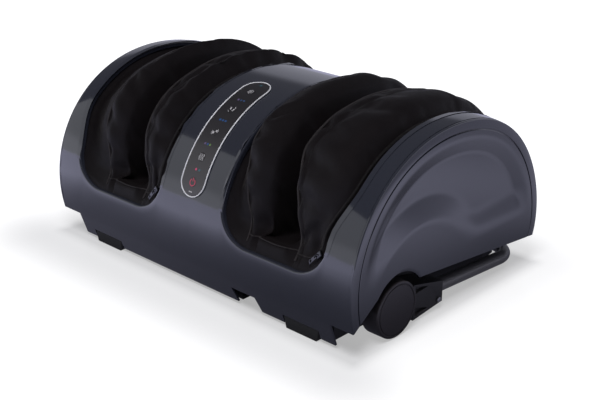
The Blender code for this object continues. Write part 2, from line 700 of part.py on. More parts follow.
def rubber_feet():
    for side, sign in sides():
        for end, front_y in (("front", FOOT_FRONT_Y), ("rear", REAR_FOOT_Y)):
            height = FOOT_HEIGHT if end == "front" else PAN_BOTTOM_Z - GAP
            rings = []
            for z, grow in ((0, -FOOT_BEVEL / 2), (FOOT_BEVEL / 2, 0), (height, FOOT_SLANT)):
                half_x, half_y = FOOT_WIDTH / 2 + grow, FOOT_DEPTH / 2 + min(grow, 0)
                outline = rectangle(sign * FOOT_X, front_y + FOOT_DEPTH / 2, half_x, half_y)
                rings.append([Vector((x, y, z)) for x, y in outline])
            loft(f"foot_{end}_{side}", rings, RUBBER)


def smooth(share):
    share = min(max(share, 0), 1)
    return share * share * (3 - 2 * share)


def dish(p):
    """How deep the cover's face is dished at (y, z): not near its rim, the wheel or its lower edge."""
    steps = 2 * OUTLINE_STEP_COUNT
    rim = min((p - side_curve(2 * i / steps)).length for i in range(steps + 1))
    around = (p - Vector((FENDER_Y, PIVOT_Z))).length
    share = smooth((rim - DISH_START) / DISH_SLOPE) * smooth((around - FENDER_R) / FENDER_SLOPE)
    return DISH_DEPTH * share * smooth((p.y - DISH_LOW_Z) / DISH_LOW_SLOPE)


def cover_ribs():
    """Lines across the cover, each as its end on the outline, its inward direction and its end on the arch."""
    count = 2 * OUTLINE_STEP_COUNT
    ribs = []
    for i in range(count + 1):
        share = i / count
        t = 2 * share
        a = math.radians(ARCH_START_DEGREES + (ARCH_END_DEGREES - ARCH_START_DEGREES) * share)
        arch = Vector((PIVOT_Y + ARCH_R * math.cos(a), PIVOT_Z + ARCH_R * math.sin(a)))
        edge, normal = side_curve(t), side_normal(t)
        along = (arch - edge).normalized()
        lean = smooth(1 - min(i, count - i) / 4)
        direction = (along * lean - normal * (1 - lean)).normalized()
        ribs.append((edge, direction / -direction.dot(normal), arch))
    return ribs


def side_cover(side, sign):
    """A moulded end cover of even thickness, dished on both faces, with a groove along its rim."""
    ribs = cover_ribs()
    slope = [DISH_START + DISH_SLOPE * share for share in (0, 0.33, 0.67, 1)]
    stations = [(0, 0), (COVER_RIM, 0), (COVER_RIM, GROOVE_DEPTH), (COVER_RIM + GROOVE_WIDTH, GROOVE_DEPTH),
                (COVER_RIM + GROOVE_WIDTH, 0)] + [(inset, 0) for inset in slope]

    def row(inset, beyond, face, sunk=0.0):
        points = []
        for edge, direction, arch in ribs:
            reach = min((arch - edge).length / (slope[-1] * 1.15), 1)
            p = edge + direction * inset * reach
            p += (arch - p) * beyond
            points.append(Vector((sign * (face - sunk - dish(p)), p.x, p.y)))
        return points

    out = COVER_IN_X + COVER_WALL
    rings = [row(inset, 0, out, sunk) for inset, sunk in stations]
    rings += [row(slope[-1], share, out) for share in BAND_SHARES]
    rings += [row(slope[-1], share, COVER_IN_X) for share in (1, 0)]
    rings += [row(DISH_START, 0, COVER_IN_X), row(0, 0, COVER_IN_X)]
    return band(f"side_cover_{side}", rings, GLOSS)


def band(name, rows, finish):
    """Joins open rows of points in a closed loop of rows, and caps the loop's two ends."""
    size = len(rows[0])
    points = [p for row in rows for p in row]
    faces = []
    for i in range(len(rows)):
        a, b = i * size, (i + 1) % len(rows) * size
        faces += [(a + j, a + j + 1, b + j + 1, b + j) for j in range(size - 1)]
    faces.append(tuple(i * size for i in range(len(rows))))
    faces.append(tuple(i * size + size - 1 for i in range(len(rows))))
    return mesh_object(name, points, faces, finish)


def fabric_stations():
    """(x from the opening's inner edge, kind) across the right well."""
    inner = [(-HEM, "hem")] + [(INNER_LOBE_WIDTH * s, kind) for s, kind in zip(INNER_LOBE_SHARES, LOBE_KINDS)]
    outer = [(-HEM, "hem")] + [(OUTER_LOBE_WIDTH * s, kind) for s, kind in zip(OUTER_LOBE_SHARES, LOBE_KINDS)]
    width = WELL_OUT_LOW_X - WELL_IN_X
    return inner + [(SLOT_CENTRE_X - WELL_IN_X, "slot")] + [(width - x, kind) for x, kind in reversed(outer)]


def lobe_offset(t, kind):
    """How far the fabric lies outside the housing's skin, along a lobe."""
    z = side_curve(t).y
    if t <= 1:
        rise = -LOBE_SINK + (LOBE_RISE + LOBE_SINK) * smooth((z - LOBE_LOW_Z) / (LOBE_HIGH_Z - LOBE_LOW_Z))
    else:
        rise = LOBE_REAR_RISE + (LOBE_RISE - LOBE_REAR_RISE) * smooth((z - REAR_LIP_Z) / (CREST_Z - REAR_LIP_Z))
    drop = {"crest": 0, "edge": EDGE_DROP, "shoulder": EDGE_DROP,
            "valley": VALLEY_SINK + rise, "hem": WALL + HEM_GAP + rise}
    return rise - drop[kind]


def slot_path(x, start, end, count):
    """The slot's floor: in over the lip, along under the sole, and up behind the toes."""
    floor = SLOT_FLOOR_Z
    run = [(start.y, start.z), (PAN_FRONT_Y + SLOT_FRONT_RUN, FRONT_LIP_Z),
           (BED_FRONT_Y + SLOT_FRONT_RUN, floor + EDGE_DROP / 2), (ROLL_Y, floor),
           (KNEAD_Y - SLOT_BEND, floor + EDGE_DROP / 2), (BED_REAR_Y, floor + SLOT_HEEL_LIFT),
           (POST_Y - SLOT_REAR_BEND, (floor + SLOT_REAR_Z) / 2), (POST_Y - SKIN, SLOT_REAR_Z),
           (POST_Y + POST_R, SLOT_REAR_Z - EDGE_DROP), (TIP_REACH - SLOT_REAR_LIP, REAR_LIP_Z), (end.y, end.z)]
    lengths = [0.0]
    for a, b in zip(run, run[1:]):
        lengths.append(lengths[-1] + math.dist(a, b))
    made = []
    for i in range(count):
        target = lengths[-1] * i / (count - 1)
        k = max(j for j in range(len(run) - 1) if lengths[j] <= target + 1e-9)
        share = (target - lengths[k]) / (lengths[k + 1] - lengths[k])
        y = run[k][0] + (run[k + 1][0] - run[k][0]) * share
        z = run[k][1] + (run[k + 1][1] - run[k][1]) * share
        made.append(Vector((x, y, z)))
    return made


def fabric_cover(side, sign):
    """The liner's skin, lofted station by station across the well."""
    count = 22
    rows = []
    for inset, kind in fabric_stations():
        x = WELL_IN_X + inset
        outer_side = x > SLOT_CENTRE_X
        t_start = t_at_height(hem_height(x, FRONT_LIP_Z))
        t_end = t_at_height(hem_height(x, REAR_LIP_Z), rear=True)
        under = -WALL - HEM_GAP
        start, end = skin_point(x, t_start, under), skin_point(x, t_end, under)
        if kind == "slot":
            rows.append(slot_path(x, start, end, count))
            continue
        row = [start]
        for i in range(1, count - 1):
            share = (i - 0.4) / (count - 1.8)
            t = t_start + (t_end - t_start) * share
            lift = lobe_offset(t, kind)
            ease = smooth(min(i - 1, count - 2 - i) / 2)
            px = x
            if outer_side and kind in ("hem", "valley"):
                lip = FRONT_LIP_Z if t <= 1 else REAR_LIP_Z
                px += outer_rim_x(side_curve(t).y, lip) - WELL_OUT_LOW_X
            row.append(skin_point(px, t, under + (lift - under) * ease))
        rows.append(row + [end])
    points = [Vector((sign * p.x, p.y, p.z)) for row in rows for p in row]
    faces = []
    for i in range(len(rows) - 1):
        for j in range(count - 1):
            a = i * count + j
            corners = (a, a + count, a + count + 1, a + 1)
            faces.append(corners if sign > 0 else corners[::-1])
    mesh = bpy.data.meshes.new(f"fabric_cover_{side}")
    mesh.from_pydata([tuple(p) for p in points], [], faces)
    mesh.materials.append(FABRIC)
    cover = bpy.data.objects.new(mesh.name, mesh)
    bpy.context.scene.collection.objects.link(cover)
    thickness = cover.modifiers.new("thickness", "SOLIDIFY")
    thickness.thickness = SKIN
    thickness.offset = -1
    return cover


def wheel(side, sign):
    """A solid wheel on its axle: tyre ring, fine groove and a slightly domed face."""
    out = WHEEL_OUT_X
    back = out - WHEEL_WIDTH
    bore = AXLE_R + RUNNING
    ring = WHEEL_R - WHEEL_RING
    bore_end = out - WHEEL_BORE_END
    profile = [(bore_end, 0), (bore_end, bore), (back, bore), (back, WHEEL_R - WHEEL_EDGE),
               (back + WHEEL_EDGE, WHEEL_R), (out - WHEEL_EDGE, WHEEL_R),
               (out - WHEEL_GROOVE / 2, WHEEL_R - WHEEL_EDGE / 2),
               (out, ring), (out - WHEEL_GROOVE, ring), (out - WHEEL_GROOVE, ring - WHEEL_GROOVE),
               (out, ring - WHEEL_GROOVE), (out + WHEEL_DOME, 0)]
    turned(f"wheel_{side}", [(sign * x, r) for x, r in profile], PIVOT_Y, PIVOT_Z, RUBBER)
    end = bore_end - RUNNING
    head = PAN_HALF_WIDTH - PAN_WALL - GAP
    profile = [(head - AXLE_HEAD, 0), (head - AXLE_HEAD, AXLE_HEAD_R), (head, AXLE_HEAD_R),
               (head, AXLE_R), (end, AXLE_R), (end, 0)]
    turned(f"wheel_axle_{side}", [(sign * x, r) for x, r in profile], PIVOT_Y, PIVOT_Z, STEEL, RING_COUNT)


def tube_height(y):
    return TUBE_START_Z - TUBE_SLOPE_SHARE * (y - TUBE_START_Y)


def tube_path():
    """The stand bar's centreline, from the right arm round the back to the left arm."""
    corner_y, corner_x = TUBE_REAR_Y - TUBE_BEND_R, TUBE_X - TUBE_BEND_R
    flat = [(TUBE_X, TUBE_START_Y), (TUBE_X, corner_y)]
    for i in range(1, CORNER_COUNT + 1):
        a = math.pi / 2 * i / CORNER_COUNT
        flat.append((corner_x + TUBE_BEND_R * math.cos(a), corner_y + TUBE_BEND_R * math.sin(a)))
    flat += [(-x, y) for x, y in reversed(flat)]
    return [Vector((x, y, tube_height(y))) for x, y in flat]


def rod(name, path, radius, count):
    """A round rod swept along a path, square to it."""
    rings = []
    for i, p in enumerate(path):
        along = (path[min(i + 1, len(path) - 1)] - path[max(i - 1, 0)]).normalized()
        across = along.cross(Vector((0, 0, 1))).normalized()
        up = across.cross(along)
        rings.append([p + across * u + up * v for u, v in circle(0, 0, radius, count)])
    return loft(name, rings, BAR_PAINT)


def handle_bar():
    """A bent steel tube, open at both ends."""
    path = tube_path()
    first = path[0] + (path[0] - path[1]).normalized() * TUBE_WALL
    last = path[-1] + (path[-1] - path[-2]).normalized() * TUBE_WALL
    bore = [first] + path[1:-1] + [last]
    tube = rod("handle_bar", path, TUBE_R, MIDDLE_COUNT)
    return cut(tube, rod("cutter", bore, TUBE_R - TUBE_WALL, MIDDLE_COUNT // 2))


def handle_arm(side, sign):
    """The moulded arm: a hub on the axle, a webbed block beside the wheel and a socket for the tube."""
    hub_tangent = ARM_HUB_R * 0.7
    web_front = ARM_FRONT_Y + POCKET_WEB * 2
    plate = circle(PIVOT_Y, PIVOT_Z, ARM_HUB_R)
    reach = [(PIVOT_Y, PIVOT_Z - hub_tangent), (web_front, ARM_BOTTOM_FRONT_Z + POCKET_WEB),
             (web_front, ARM_TOP_FRONT_Z - POCKET_WEB), (PIVOT_Y, PIVOT_Z + hub_tangent)]
    block = [(ARM_FRONT_Y, ARM_BOTTOM_FRONT_Z), (ARM_REAR_Y, ARM_BOTTOM_REAR_Z),
             (ARM_REAR_Y, ARM_TOP_REAR_Z), (ARM_FRONT_Y, ARM_TOP_FRONT_Z)]

    def across(low, high):
        return sorted((sign * low, sign * high))

    arm = prism(f"handle_arm_{side}", plate, "X", *across(ARM_IN_X, ARM_HUB_OUT_X))
    join(arm, prism("web", reach, "X", *across(ARM_IN_X + GAP, ARM_HUB_OUT_X - GAP)))
    join(arm, prism("block", block, "X", *across(ARM_IN_X + GAP * 2, ARM_OUT_X)))
    pocket_front = ARM_FRONT_Y + POCKET_WEB
    pocket_rear = (ARM_FRONT_Y + ARM_REAR_Y) / 2
    upper = [(pocket_front, ARM_TOP_FRONT_Z - POCKET_WEB), (pocket_front, PIVOT_Z + POCKET_WEB / 2),
             (pocket_rear, PIVOT_Z + POCKET_WEB)]
    lower = [(pocket_front, PIVOT_Z - POCKET_WEB * 4), (pocket_front, ARM_BOTTOM_FRONT_Z + POCKET_WEB),
             (pocket_rear, ARM_BOTTOM_REAR_Z + POCKET_WEB / 2)]
    for outline in (upper, lower):
        cut(arm, prism("cutter", outline, "X", *across(ARM_OUT_X - POCKET_DEPTH, ARM_OUT_X + OVERRUN)))
    along = Vector((0, 1, -TUBE_SLOPE_SHARE)).normalized()
    start = Vector((sign * TUBE_X, TUBE_START_Y, TUBE_START_Z)) - along * GAP
    end = start + along * (ARM_REAR_Y - TUBE_START_Y + OVERRUN)
    cut(arm, rod("cutter", [start, end], TUBE_R + GAP, MIDDLE_COUNT))
    bore = across(ARM_IN_X - OVERRUN, ARM_OUT_X)
    cut(arm, cylinder("cutter", "X", *bore, PIVOT_Y, PIVOT_Z, AXLE_R + RUNNING))
    screw_z = tube_height(PINCH_SCREW_Y) - PINCH_SCREW_DROP
    depth = ARM_OUT_X - PINCH_LENGTH
    cut(arm, cylinder("cutter", "X", *across(depth - GAP, ARM_OUT_X + OVERRUN), PINCH_SCREW_Y, screw_z,
                      PINCH_SCREW_R + GAP, count=COARSE_COUNT))
    head = ARM_OUT_X + GAP
    profile = [(depth, 0), (depth, PINCH_SCREW_R), (head, PINCH_SCREW_R), (head, PINCH_HEAD_R),
               (head + PINCH_HEAD, PINCH_HEAD_R), (head + PINCH_HEAD, 0)]
    profile = [(sign * x, r) for x, r in profile]
    turned(f"arm_screw_{side}", profile, PINCH_SCREW_Y, screw_z, STEEL, COARSE_COUNT)


def worm_wheel(name, y):
    """A worm wheel whose teeth lean with the worm's thread, with a tooth gap under the worm."""
    pitch_r = GEAR_TEETH * GEAR_MODULE / 2
    tip, root = pitch_r + GEAR_TIP, pitch_r - GEAR_ROOT
    lean = GEAR_MODULE / 2 / WORM_PITCH_R / pitch_r
    rings = []
    for x in (-GEAR_WIDTH / 2, GEAR_WIDTH / 2):
        ring = []
        for i in range(GEAR_TEETH):
            middle = math.pi / 2 + (i + 0.5) * 2 * math.pi / GEAR_TEETH + lean * x
            for radius, share in ((root, -TOOTH_ROOT_SHARE), (tip, -TOOTH_TIP_SHARE),
                                  (tip, TOOTH_TIP_SHARE), (root, TOOTH_ROOT_SHARE)):
                a = middle + share * 2 * math.pi / GEAR_TEETH
                ring.append(Vector((x, y + radius * math.cos(a), SHAFT_Z + radius * math.sin(a))))
        rings.append(ring)
    wheel_body = loft(name, rings, NYLON)
    bore = cylinder("cutter", "X", -GEAR_WIDTH, GEAR_WIDTH, y, SHAFT_Z, SHAFT_R + GAP, count=COARSE_COUNT)
    return cut(wheel_body, bore)


def worm(name, y, direction):
    """A single-start right-hand worm on the motor's shaft, which runs along Y."""
    pitch = math.pi * GEAR_MODULE
    root, tip = WORM_PITCH_R - WORM_ROOT, WORM_PITCH_R + WORM_TIP
    steps = 10
    rings = []
    for k in range(WORM_TURNS * steps + 1):
        turn = k / steps - WORM_TURNS / 2
        a = math.pi + turn * 2 * math.pi
        centre_y = y + pitch * turn
        ring = []
        for radius, share in ((root * THREAD_SINK_SHARE, -THREAD_ROOT_SHARE), (tip, -THREAD_TIP_SHARE),
                              (tip, THREAD_TIP_SHARE), (root * THREAD_SINK_SHARE, THREAD_ROOT_SHARE)):
            ring.append(Vector((radius * math.sin(a), centre_y + share * pitch, WORM_Z + radius * math.cos(a))))
        rings.append(ring)
    thread = loft(name, rings, STEEL)
    half = pitch * (WORM_TURNS / 2 + 0.5)
    core = cylinder("core", "Y", y - half, y + half, 0, WORM_Z, root, STEEL, MIDDLE_COUNT)
    join(thread, core)
    motor_end = y + direction * (GEARBOX_HALF_LENGTH + MOTOR_BORE)
    tail_end = y - direction * WORM_TAIL
    ends = sorted((tail_end, motor_end))
    return join(thread, cylinder("shaft", "Y", *ends, 0, WORM_Z, WORM_SHAFT_R, STEEL, COARSE_COUNT))


def gearbox(name, y, direction):
    """A moulded box round one worm pair, standing on the pan's floor."""
    low = FLOOR_TOP_Z + GAP
    middle, half = (low + GEARBOX_TOP_Z) / 2, (GEARBOX_TOP_Z - low) / 2
    wall = GEARBOX_WALL
    outline = rectangle(y, middle, GEARBOX_HALF_LENGTH, half)
    box = prism(name, outline, "X", -GEARBOX_HALF_WIDTH, GEARBOX_HALF_WIDTH)
    cut(box, prism("cutter", rectangle(y, middle, GEARBOX_HALF_LENGTH - wall, half - wall), "X",
                   wall - GEARBOX_HALF_WIDTH, GEARBOX_HALF_WIDTH - wall))
    beyond = GEARBOX_HALF_WIDTH + OVERRUN
    cut(box, cylinder("cutter", "X", -beyond, beyond, y, SHAFT_Z, SHAFT_R + RUNNING))
    port = sorted((y + direction * GEARBOX_HALF_LENGTH / 2, y + direction * GEARBOX_HALF_LENGTH * 2))
    return cut(box, cylinder("cutter", "Y", *port, 0, WORM_Z, GEARBOX_PORT_R))


def motor(name, y, direction):
    """A round motor can against the gearbox, bored for the worm's shaft."""
    start = y + direction * (GEARBOX_HALF_LENGTH + GAP)
    end = start + direction * MOTOR_LENGTH
    can = cylinder(name, "Y", *sorted((start, end)), 0, WORM_Z, MOTOR_R, STEEL)
    ends = sorted((start - direction * MOTOR_BORE, start + direction * MOTOR_BORE))
    return cut(can, cylinder("cutter", "Y", *ends, 0, WORM_Z, WORM_SHAFT_R + RUNNING, count=COARSE_COUNT))


def drive(kind, y, direction):
    """One shaft across the housing with its worm pair, gearbox, motor and end bushes."""
    cylinder(f"{kind}_shaft", "X", -SHAFT_END_X, SHAFT_END_X, y, SHAFT_Z, SHAFT_R, STEEL, COARSE_COUNT)
    worm_wheel(f"{kind}_worm_wheel", y)
    worm(f"{kind}_worm", y, direction)
    gearbox(f"{kind}_gearbox", y, direction)
    motor(f"{kind}_motor", y, direction)
    for side, sign in sides():
        out = SHAFT_END_X + GAP
        ring = [(out - BUSH_LENGTH, SHAFT_R + RUNNING), (out, SHAFT_R + RUNNING),
                (out, BUSH_OUT_R), (out - BUSH_LENGTH, BUSH_OUT_R)]
        turned(f"{kind}_bush_{side}", [(sign * x, r) for x, r in ring], y, SHAFT_Z, BRASS, RING_COUNT)


def kneading_plate(side, sign, place_name):
    """A curved plate inside one lobe, with a leg down to its hub on the kneading shaft."""
    steps = 14
    t_low, t_high = t_at_height(PLATE_FRONT_Z), t_at_height(PLATE_REAR_Z, rear=True)
    x = INNER_PLATE_X if place_name == "inner" else OUTER_PLATE_X
    outline = []
    for i in range(steps + 1):
        t = t_low + (t_high - t_low) * i / steps
        p = side_curve(t) - side_normal(t) * PLATE_SINK
        outline.append((p.x, p.y))
    leg = [math.radians(a) for a in range(20, -201, -20)]
    outline += [(KNEAD_Y + PLATE_HUB_R * math.cos(a), SHAFT_Z + PLATE_HUB_R * math.sin(a)) for a in leg]
    low, high = sorted((sign * (x - PLATE_THICK / 2), sign * (x + PLATE_THICK / 2)))
    plate = prism(f"kneading_plate_{side}_{place_name}", outline, "X", low, high, NYLON)
    cut(plate, cylinder("cutter", "X", low - OVERRUN, high + OVERRUN, KNEAD_Y, SHAFT_Z, HUB_R + HUB_CLEARANCE))
    ring = [(x - HUB_LENGTH / 2, SHAFT_R + GAP), (x + HUB_LENGTH / 2, SHAFT_R + GAP),
            (x + HUB_LENGTH / 2, HUB_R), (x - HUB_LENGTH / 2, HUB_R)]
    ring = [(sign * u, r) for u, r in ring]
    turned(f"wobble_hub_{side}_{place_name}", ring, KNEAD_Y, SHAFT_Z, NYLON, RING_COUNT)


def sole_roller(side, sign):
    """A ribbed roller under the sole, fixed on the roller shaft."""
    start = SLOT_CENTRE_X - ROLLER_WIDTH / 2
    pitch = ROLLER_WIDTH / ROLLER_RIBS
    profile = [(start, SHAFT_R + GAP), (start, ROLLER_WAIST_R)]
    for i in range(ROLLER_RIBS):
        left = start + pitch * i
        profile += [(left + pitch * share, ROLLER_R) for share in RIB_SHARES]
        profile.append((left + pitch, ROLLER_WAIST_R))
    profile.append((start + ROLLER_WIDTH, SHAFT_R + GAP))
    turned(f"sole_roller_{side}", [(sign * x, r) for x, r in profile], ROLL_Y, SHAFT_Z, NYLON, MIDDLE_COUNT)


def foot_bed(side, sign):
    """The trough under the slot's floor, with a window for the roller and ports for both shafts."""
    middle = sign * SLOT_CENTRE_X
    low, top, wall = FLOOR_TOP_Z + GAP, BED_TOP_Z, BED_WALL
    left, right = middle - BED_HALF_WIDTH, middle + BED_HALF_WIDTH
    outline = [(left, low), (left, top), (right, top), (right, low), (right - wall, low),
               (right - wall, top - wall), (left + wall, top - wall), (left + wall, low)]
    bed = prism(f"foot_bed_{side}", outline, "Y", BED_FRONT_Y, BED_REAR_Y)
    window = rectangle(middle, ROLL_Y, ROLLER_WIDTH / 2 + ROLLER_CLEARANCE, ROLLER_R + ROLLER_CLEARANCE)
    cut(bed, prism("cutter", window, "Z", SHAFT_Z, top + OVERRUN))
    for y in (KNEAD_Y, ROLL_Y):
        cut(bed, cylinder("cutter", "X", left - OVERRUN, right + OVERRUN, y, SHAFT_Z, BED_PORT_R,
                          count=COARSE_COUNT))
    return bed


def panel_span():
    return t_at_height(PANEL_LOW_Z), t_at_front_y(PANEL_HIGH_Y)


def panel_length():
    t_low, t_high = panel_span()
    steps = 20
    points = [side_curve(t_low + (t_high - t_low) * i / steps) for i in range(steps + 1)]
    return sum((b - a).length for a, b in zip(points, points[1:]))


def ribbon(name, t_low, t_high, half_width, top, bottom, finish, steps=14):
    """A strip along the ridge from t_low to t_high, between two offsets from the skin."""
    rings = []
    for i in range(steps + 1):
        share = 0.5 - 0.5 * math.cos(math.pi * i / steps)
        t = t_low + (t_high - t_low) * share
        w = half_width(share)
        rings.append([skin_at_ridge(-w, t, top), skin_at_ridge(w, t, top),
                      skin_at_ridge(w, t, bottom), skin_at_ridge(-w, t, bottom)])
    return loft(name, rings, finish)


def skin_at_ridge(x, t, offset):
    """A point over the ridge's middle line, at x: the panel is flat across its width."""
    p = skin_point(0, t, offset)
    return Vector((x, p.y, p.z))


def round_end_width(radius, length):
    """The half width along a strip with half-round ends."""
    def width(share):
        end = min(share, 1 - share) * length
        if end >= radius:
            return radius
        return max(math.sqrt(max(radius**2 - (radius - end) ** 2, 0)), radius / 4)
    return width


def key_points():
    """Each key's name, its place on the ridge and its outward direction."""
    t_low, t_high = panel_span()
    made = []
    for name, share in zip(KEY_NAMES, KEY_SHARES):
        t = t_low + (t_high - t_low) * share
        n = side_normal(t)
        made.append((name, skin_point(0, t), Vector((0, n.x, n.y))))
    return made


def key_round(name, middle, outward, profile, finish):
    """A round piece about a key's own direction, from (distance outwards, radius) pairs."""
    across, up = Vector((1, 0, 0)), outward.cross(Vector((1, 0, 0)))
    rings = [[middle + outward * d + across * u + up * v for u, v in circle(0, 0, radius, MIDDLE_COUNT)]
             for d, radius in profile]
    return loft(name, rings, finish)


def control_panel():
    """Overlay, silver bezel, five keys and the bent circuit strip under them."""
    t_low, t_high = panel_span()
    length = panel_length()
    base = GAP
    outline = round_end_width(PANEL_HALF_WIDTH, length)
    overlay = ribbon("panel_overlay", t_low, t_high, outline, base + PANEL_THICK, base, SMOKE)
    reach = (BEZEL_WIDTH + GAP) / length * (t_high - t_low)
    outer_half = PANEL_HALF_WIDTH + BEZEL_WIDTH + GAP
    outline = round_end_width(outer_half, length + 2 * BEZEL_WIDTH)
    bezel = ribbon("panel_bezel", t_low - reach, t_high + reach, outline, base + BEZEL_THICK, base, SILVER)
    hole_reach = GAP / length * (t_high - t_low)
    outline = round_end_width(PANEL_HALF_WIDTH + GAP, length)
    hole = ribbon("cutter", t_low - hole_reach, t_high + hole_reach, outline,
                  base + BEZEL_THICK * 3, base - BEZEL_THICK, BLACK)
    cut(bezel, hole)
    board_top = base + PANEL_THICK + KEY_PROUD - KEY_LENGTH - KEY_TRAVEL - BOARD_KEY_GAP
    board_low = board_top - BOARD_THICK
    ribbon("control_board", t_low, t_high, lambda share: BOARD_HALF_WIDTH, board_top, board_low, GREEN)
    for name, middle, outward in key_points():
        top = base + PANEL_THICK + KEY_PROUD
        hole = [(-OVERRUN / 4, KEY_R + GAP), (OVERRUN / 4, KEY_R + GAP)]
        cut(overlay, key_round("cutter", middle, outward, hole, BLACK))
        high = -KEY_FLANGE_DROP
        low = high - KEY_FLANGE
        profile = [(top - KEY_LENGTH, KEY_R), (low, KEY_R), (low, KEY_FLANGE_R),
                   (high, KEY_FLANGE_R), (high, KEY_R), (top, KEY_R)]
        key_round(f"button_{name}", middle, outward, profile, SMOKE)


def electrics():
    """The power board on its posts, and the mains inlet in the rear wall."""
    half_x, half_y = POWER_BOARD_HALF_WIDTH, POWER_BOARD_HALF_DEPTH
    low = POWER_BOARD_Z
    outline = rectangle(0, POWER_BOARD_Y, half_x, half_y)
    board = prism("power_board", outline, "Z", low, low + POWER_BOARD_THICK, GREEN)
    tx, ty = TRANSFORMER_HALF_WIDTH, TRANSFORMER_HALF_DEPTH
    join(board, prism("part", rectangle(-half_x / 2, POWER_BOARD_Y, tx, ty), "Z",
                      low + POWER_BOARD_THICK / 2, low + TRANSFORMER_HEIGHT, BLACK))
    face = skin_point(INLET_X, t_at_height(INLET_Z, rear=True)).y - INLET_SET_BACK
    outline = rectangle(INLET_X, INLET_Z, INLET_HALF_WIDTH, INLET_HALF_HEIGHT)
    inlet = prism("power_inlet", outline, "Y", face - INLET_DEPTH, face)
    hollow = rectangle(INLET_X, INLET_Z, INLET_HALF_WIDTH - SOCKET_WALL, INLET_HALF_HEIGHT - SOCKET_WALL)
    cut(inlet, prism("cutter", hollow, "Y", face - SOCKET_DEPTH, face + OVERRUN))
    for x in (-CONTACT_SPACING, 0, CONTACT_SPACING):
        pin = rectangle(INLET_X + x, INLET_Z, CONTACT_HALF_WIDTH, CONTACT_HALF_HEIGHT)
        join(inlet, prism("pin", pin, "Y", face - SOCKET_DEPTH - SOCKET_WALL, face - SOCKET_WALL, BRASS))


def build():
    top_shell()
    base_pan()
    base_screws()
    rubber_feet()
    for side, sign in sides():
        side_cover(side, sign)
        fabric_cover(side, sign)
        wheel(side, sign)
        handle_arm(side, sign)
        kneading_plate(side, sign, "inner")
        kneading_plate(side, sign, "outer")
        sole_roller(side, sign)
        foot_bed(side, sign)
    handle_bar()
    drive("kneading", KNEAD_Y, 1)
    drive("roller", ROLL_Y, -1)
    control_panel()
    electrics()


build()
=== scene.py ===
import math

import bmesh
import bpy
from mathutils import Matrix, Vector


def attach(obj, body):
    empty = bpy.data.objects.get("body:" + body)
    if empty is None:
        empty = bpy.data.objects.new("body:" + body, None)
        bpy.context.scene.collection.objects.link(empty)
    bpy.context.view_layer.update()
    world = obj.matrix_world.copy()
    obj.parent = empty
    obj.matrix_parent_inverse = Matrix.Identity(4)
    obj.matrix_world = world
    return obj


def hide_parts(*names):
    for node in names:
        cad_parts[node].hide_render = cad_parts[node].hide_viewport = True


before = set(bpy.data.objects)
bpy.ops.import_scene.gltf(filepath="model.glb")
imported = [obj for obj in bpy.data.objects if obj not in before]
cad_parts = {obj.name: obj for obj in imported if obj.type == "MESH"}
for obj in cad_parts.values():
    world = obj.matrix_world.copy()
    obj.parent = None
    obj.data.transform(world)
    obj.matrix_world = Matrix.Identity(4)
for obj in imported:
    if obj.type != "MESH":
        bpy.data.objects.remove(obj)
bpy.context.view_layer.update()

mm = 0.001


# Camera, light and floor. The camera stands front right and a little above the massager. A broad
# soft box at the front left gives the gloss its pale sheet of light, a lamp high behind the camera
# lights the whole, and the floor is white and slightly shiny.
CAMERA_PLACE = (0.8375, -0.8740, 0.5614)
CAMERA_TARGET = (0.0139, 0, 0.0617)
FOCAL_LENGTH = 67.76
FLOOR_SIZE = 12
SHADE_HALF_X = 0.23
SHADE_HALF_Y = 0.155
ROOM_TINT = (0.94, 0.95, 1.12)
FLOOR_TINT = (0.90, 0.90, 1.20, 1)


def add_object(name, data):
    """A new object in the scene."""
    made = bpy.data.objects.new(name, data)
    bpy.context.scene.collection.objects.link(made)
    return made


def point_at(obj, location, target):
    obj.location = location
    obj.rotation_euler = (Vector(target) - Vector(location)).to_track_quat("-Z", "Y").to_euler()


def area_lamp(name, location, target, size, power, colour=(1, 1, 1)):
    lamp = bpy.data.lights.new(name, "AREA")
    lamp.shape = "RECTANGLE"
    lamp.size, lamp.size_y = size
    lamp.energy = power
    lamp.color = colour
    made = add_object(name, lamp)
    point_at(made, location, target)
    return made


def feed(node, *values, **given):
    """Fills a node's inputs, in order or by name with _ for a space. A value may be another node's
    output. A name in lower case is one of the node's own settings."""
    for name, value in given.items():
        if name.islower():
            setattr(node, name, value)
    named = [(node.inputs[name.replace("_", " ")], value) for name, value in given.items() if not name.islower()]
    for socket, value in [*zip(node.inputs, values), *named]:
        if isinstance(value, bpy.types.NodeSocket):
            node.id_data.links.new(value, socket)
        else:
            socket.default_value = value
    return node.outputs


def wired(tree, kind, *values, **given):
    """Adds a shader node with its inputs filled, and returns its outputs."""
    return feed(tree.nodes.new("ShaderNode" + kind), *values, **given)


def calc(tree, operation, *values, clamp=False):
    return wired(tree, "Math", *values, operation=operation, use_clamp=clamp)[0]


def ramp(tree, value, low, high, start=0.0, end=1.0):
    """Eases from one end of a range to the other."""
    return wired(tree, "MapRange", interpolation_type="SMOOTHSTEP", Value=value, From_Min=low, From_Max=high,
                 To_Min=start, To_Max=end)[0]


camera_data = bpy.data.cameras.new("camera")
camera_data.lens = FOCAL_LENGTH
camera_data.sensor_width = 36
camera_data.clip_start = 0.01
camera = add_object("camera", camera_data)
point_at(camera, CAMERA_PLACE, CAMERA_TARGET)
bpy.context.scene.camera = camera
bpy.context.scene.view_settings.view_transform = "Standard"
area_lamp("front_left_box", (-1.25, -1.35, 0.72), (0, 0, 0.5), (1.9, 1.3), 3.8, (0.95, 0.97, 1))
area_lamp("key_lamp", (0.55, -0.9, 1.9), (0, 0, 0.1), (0.9, 0.9), 30).visible_glossy = False

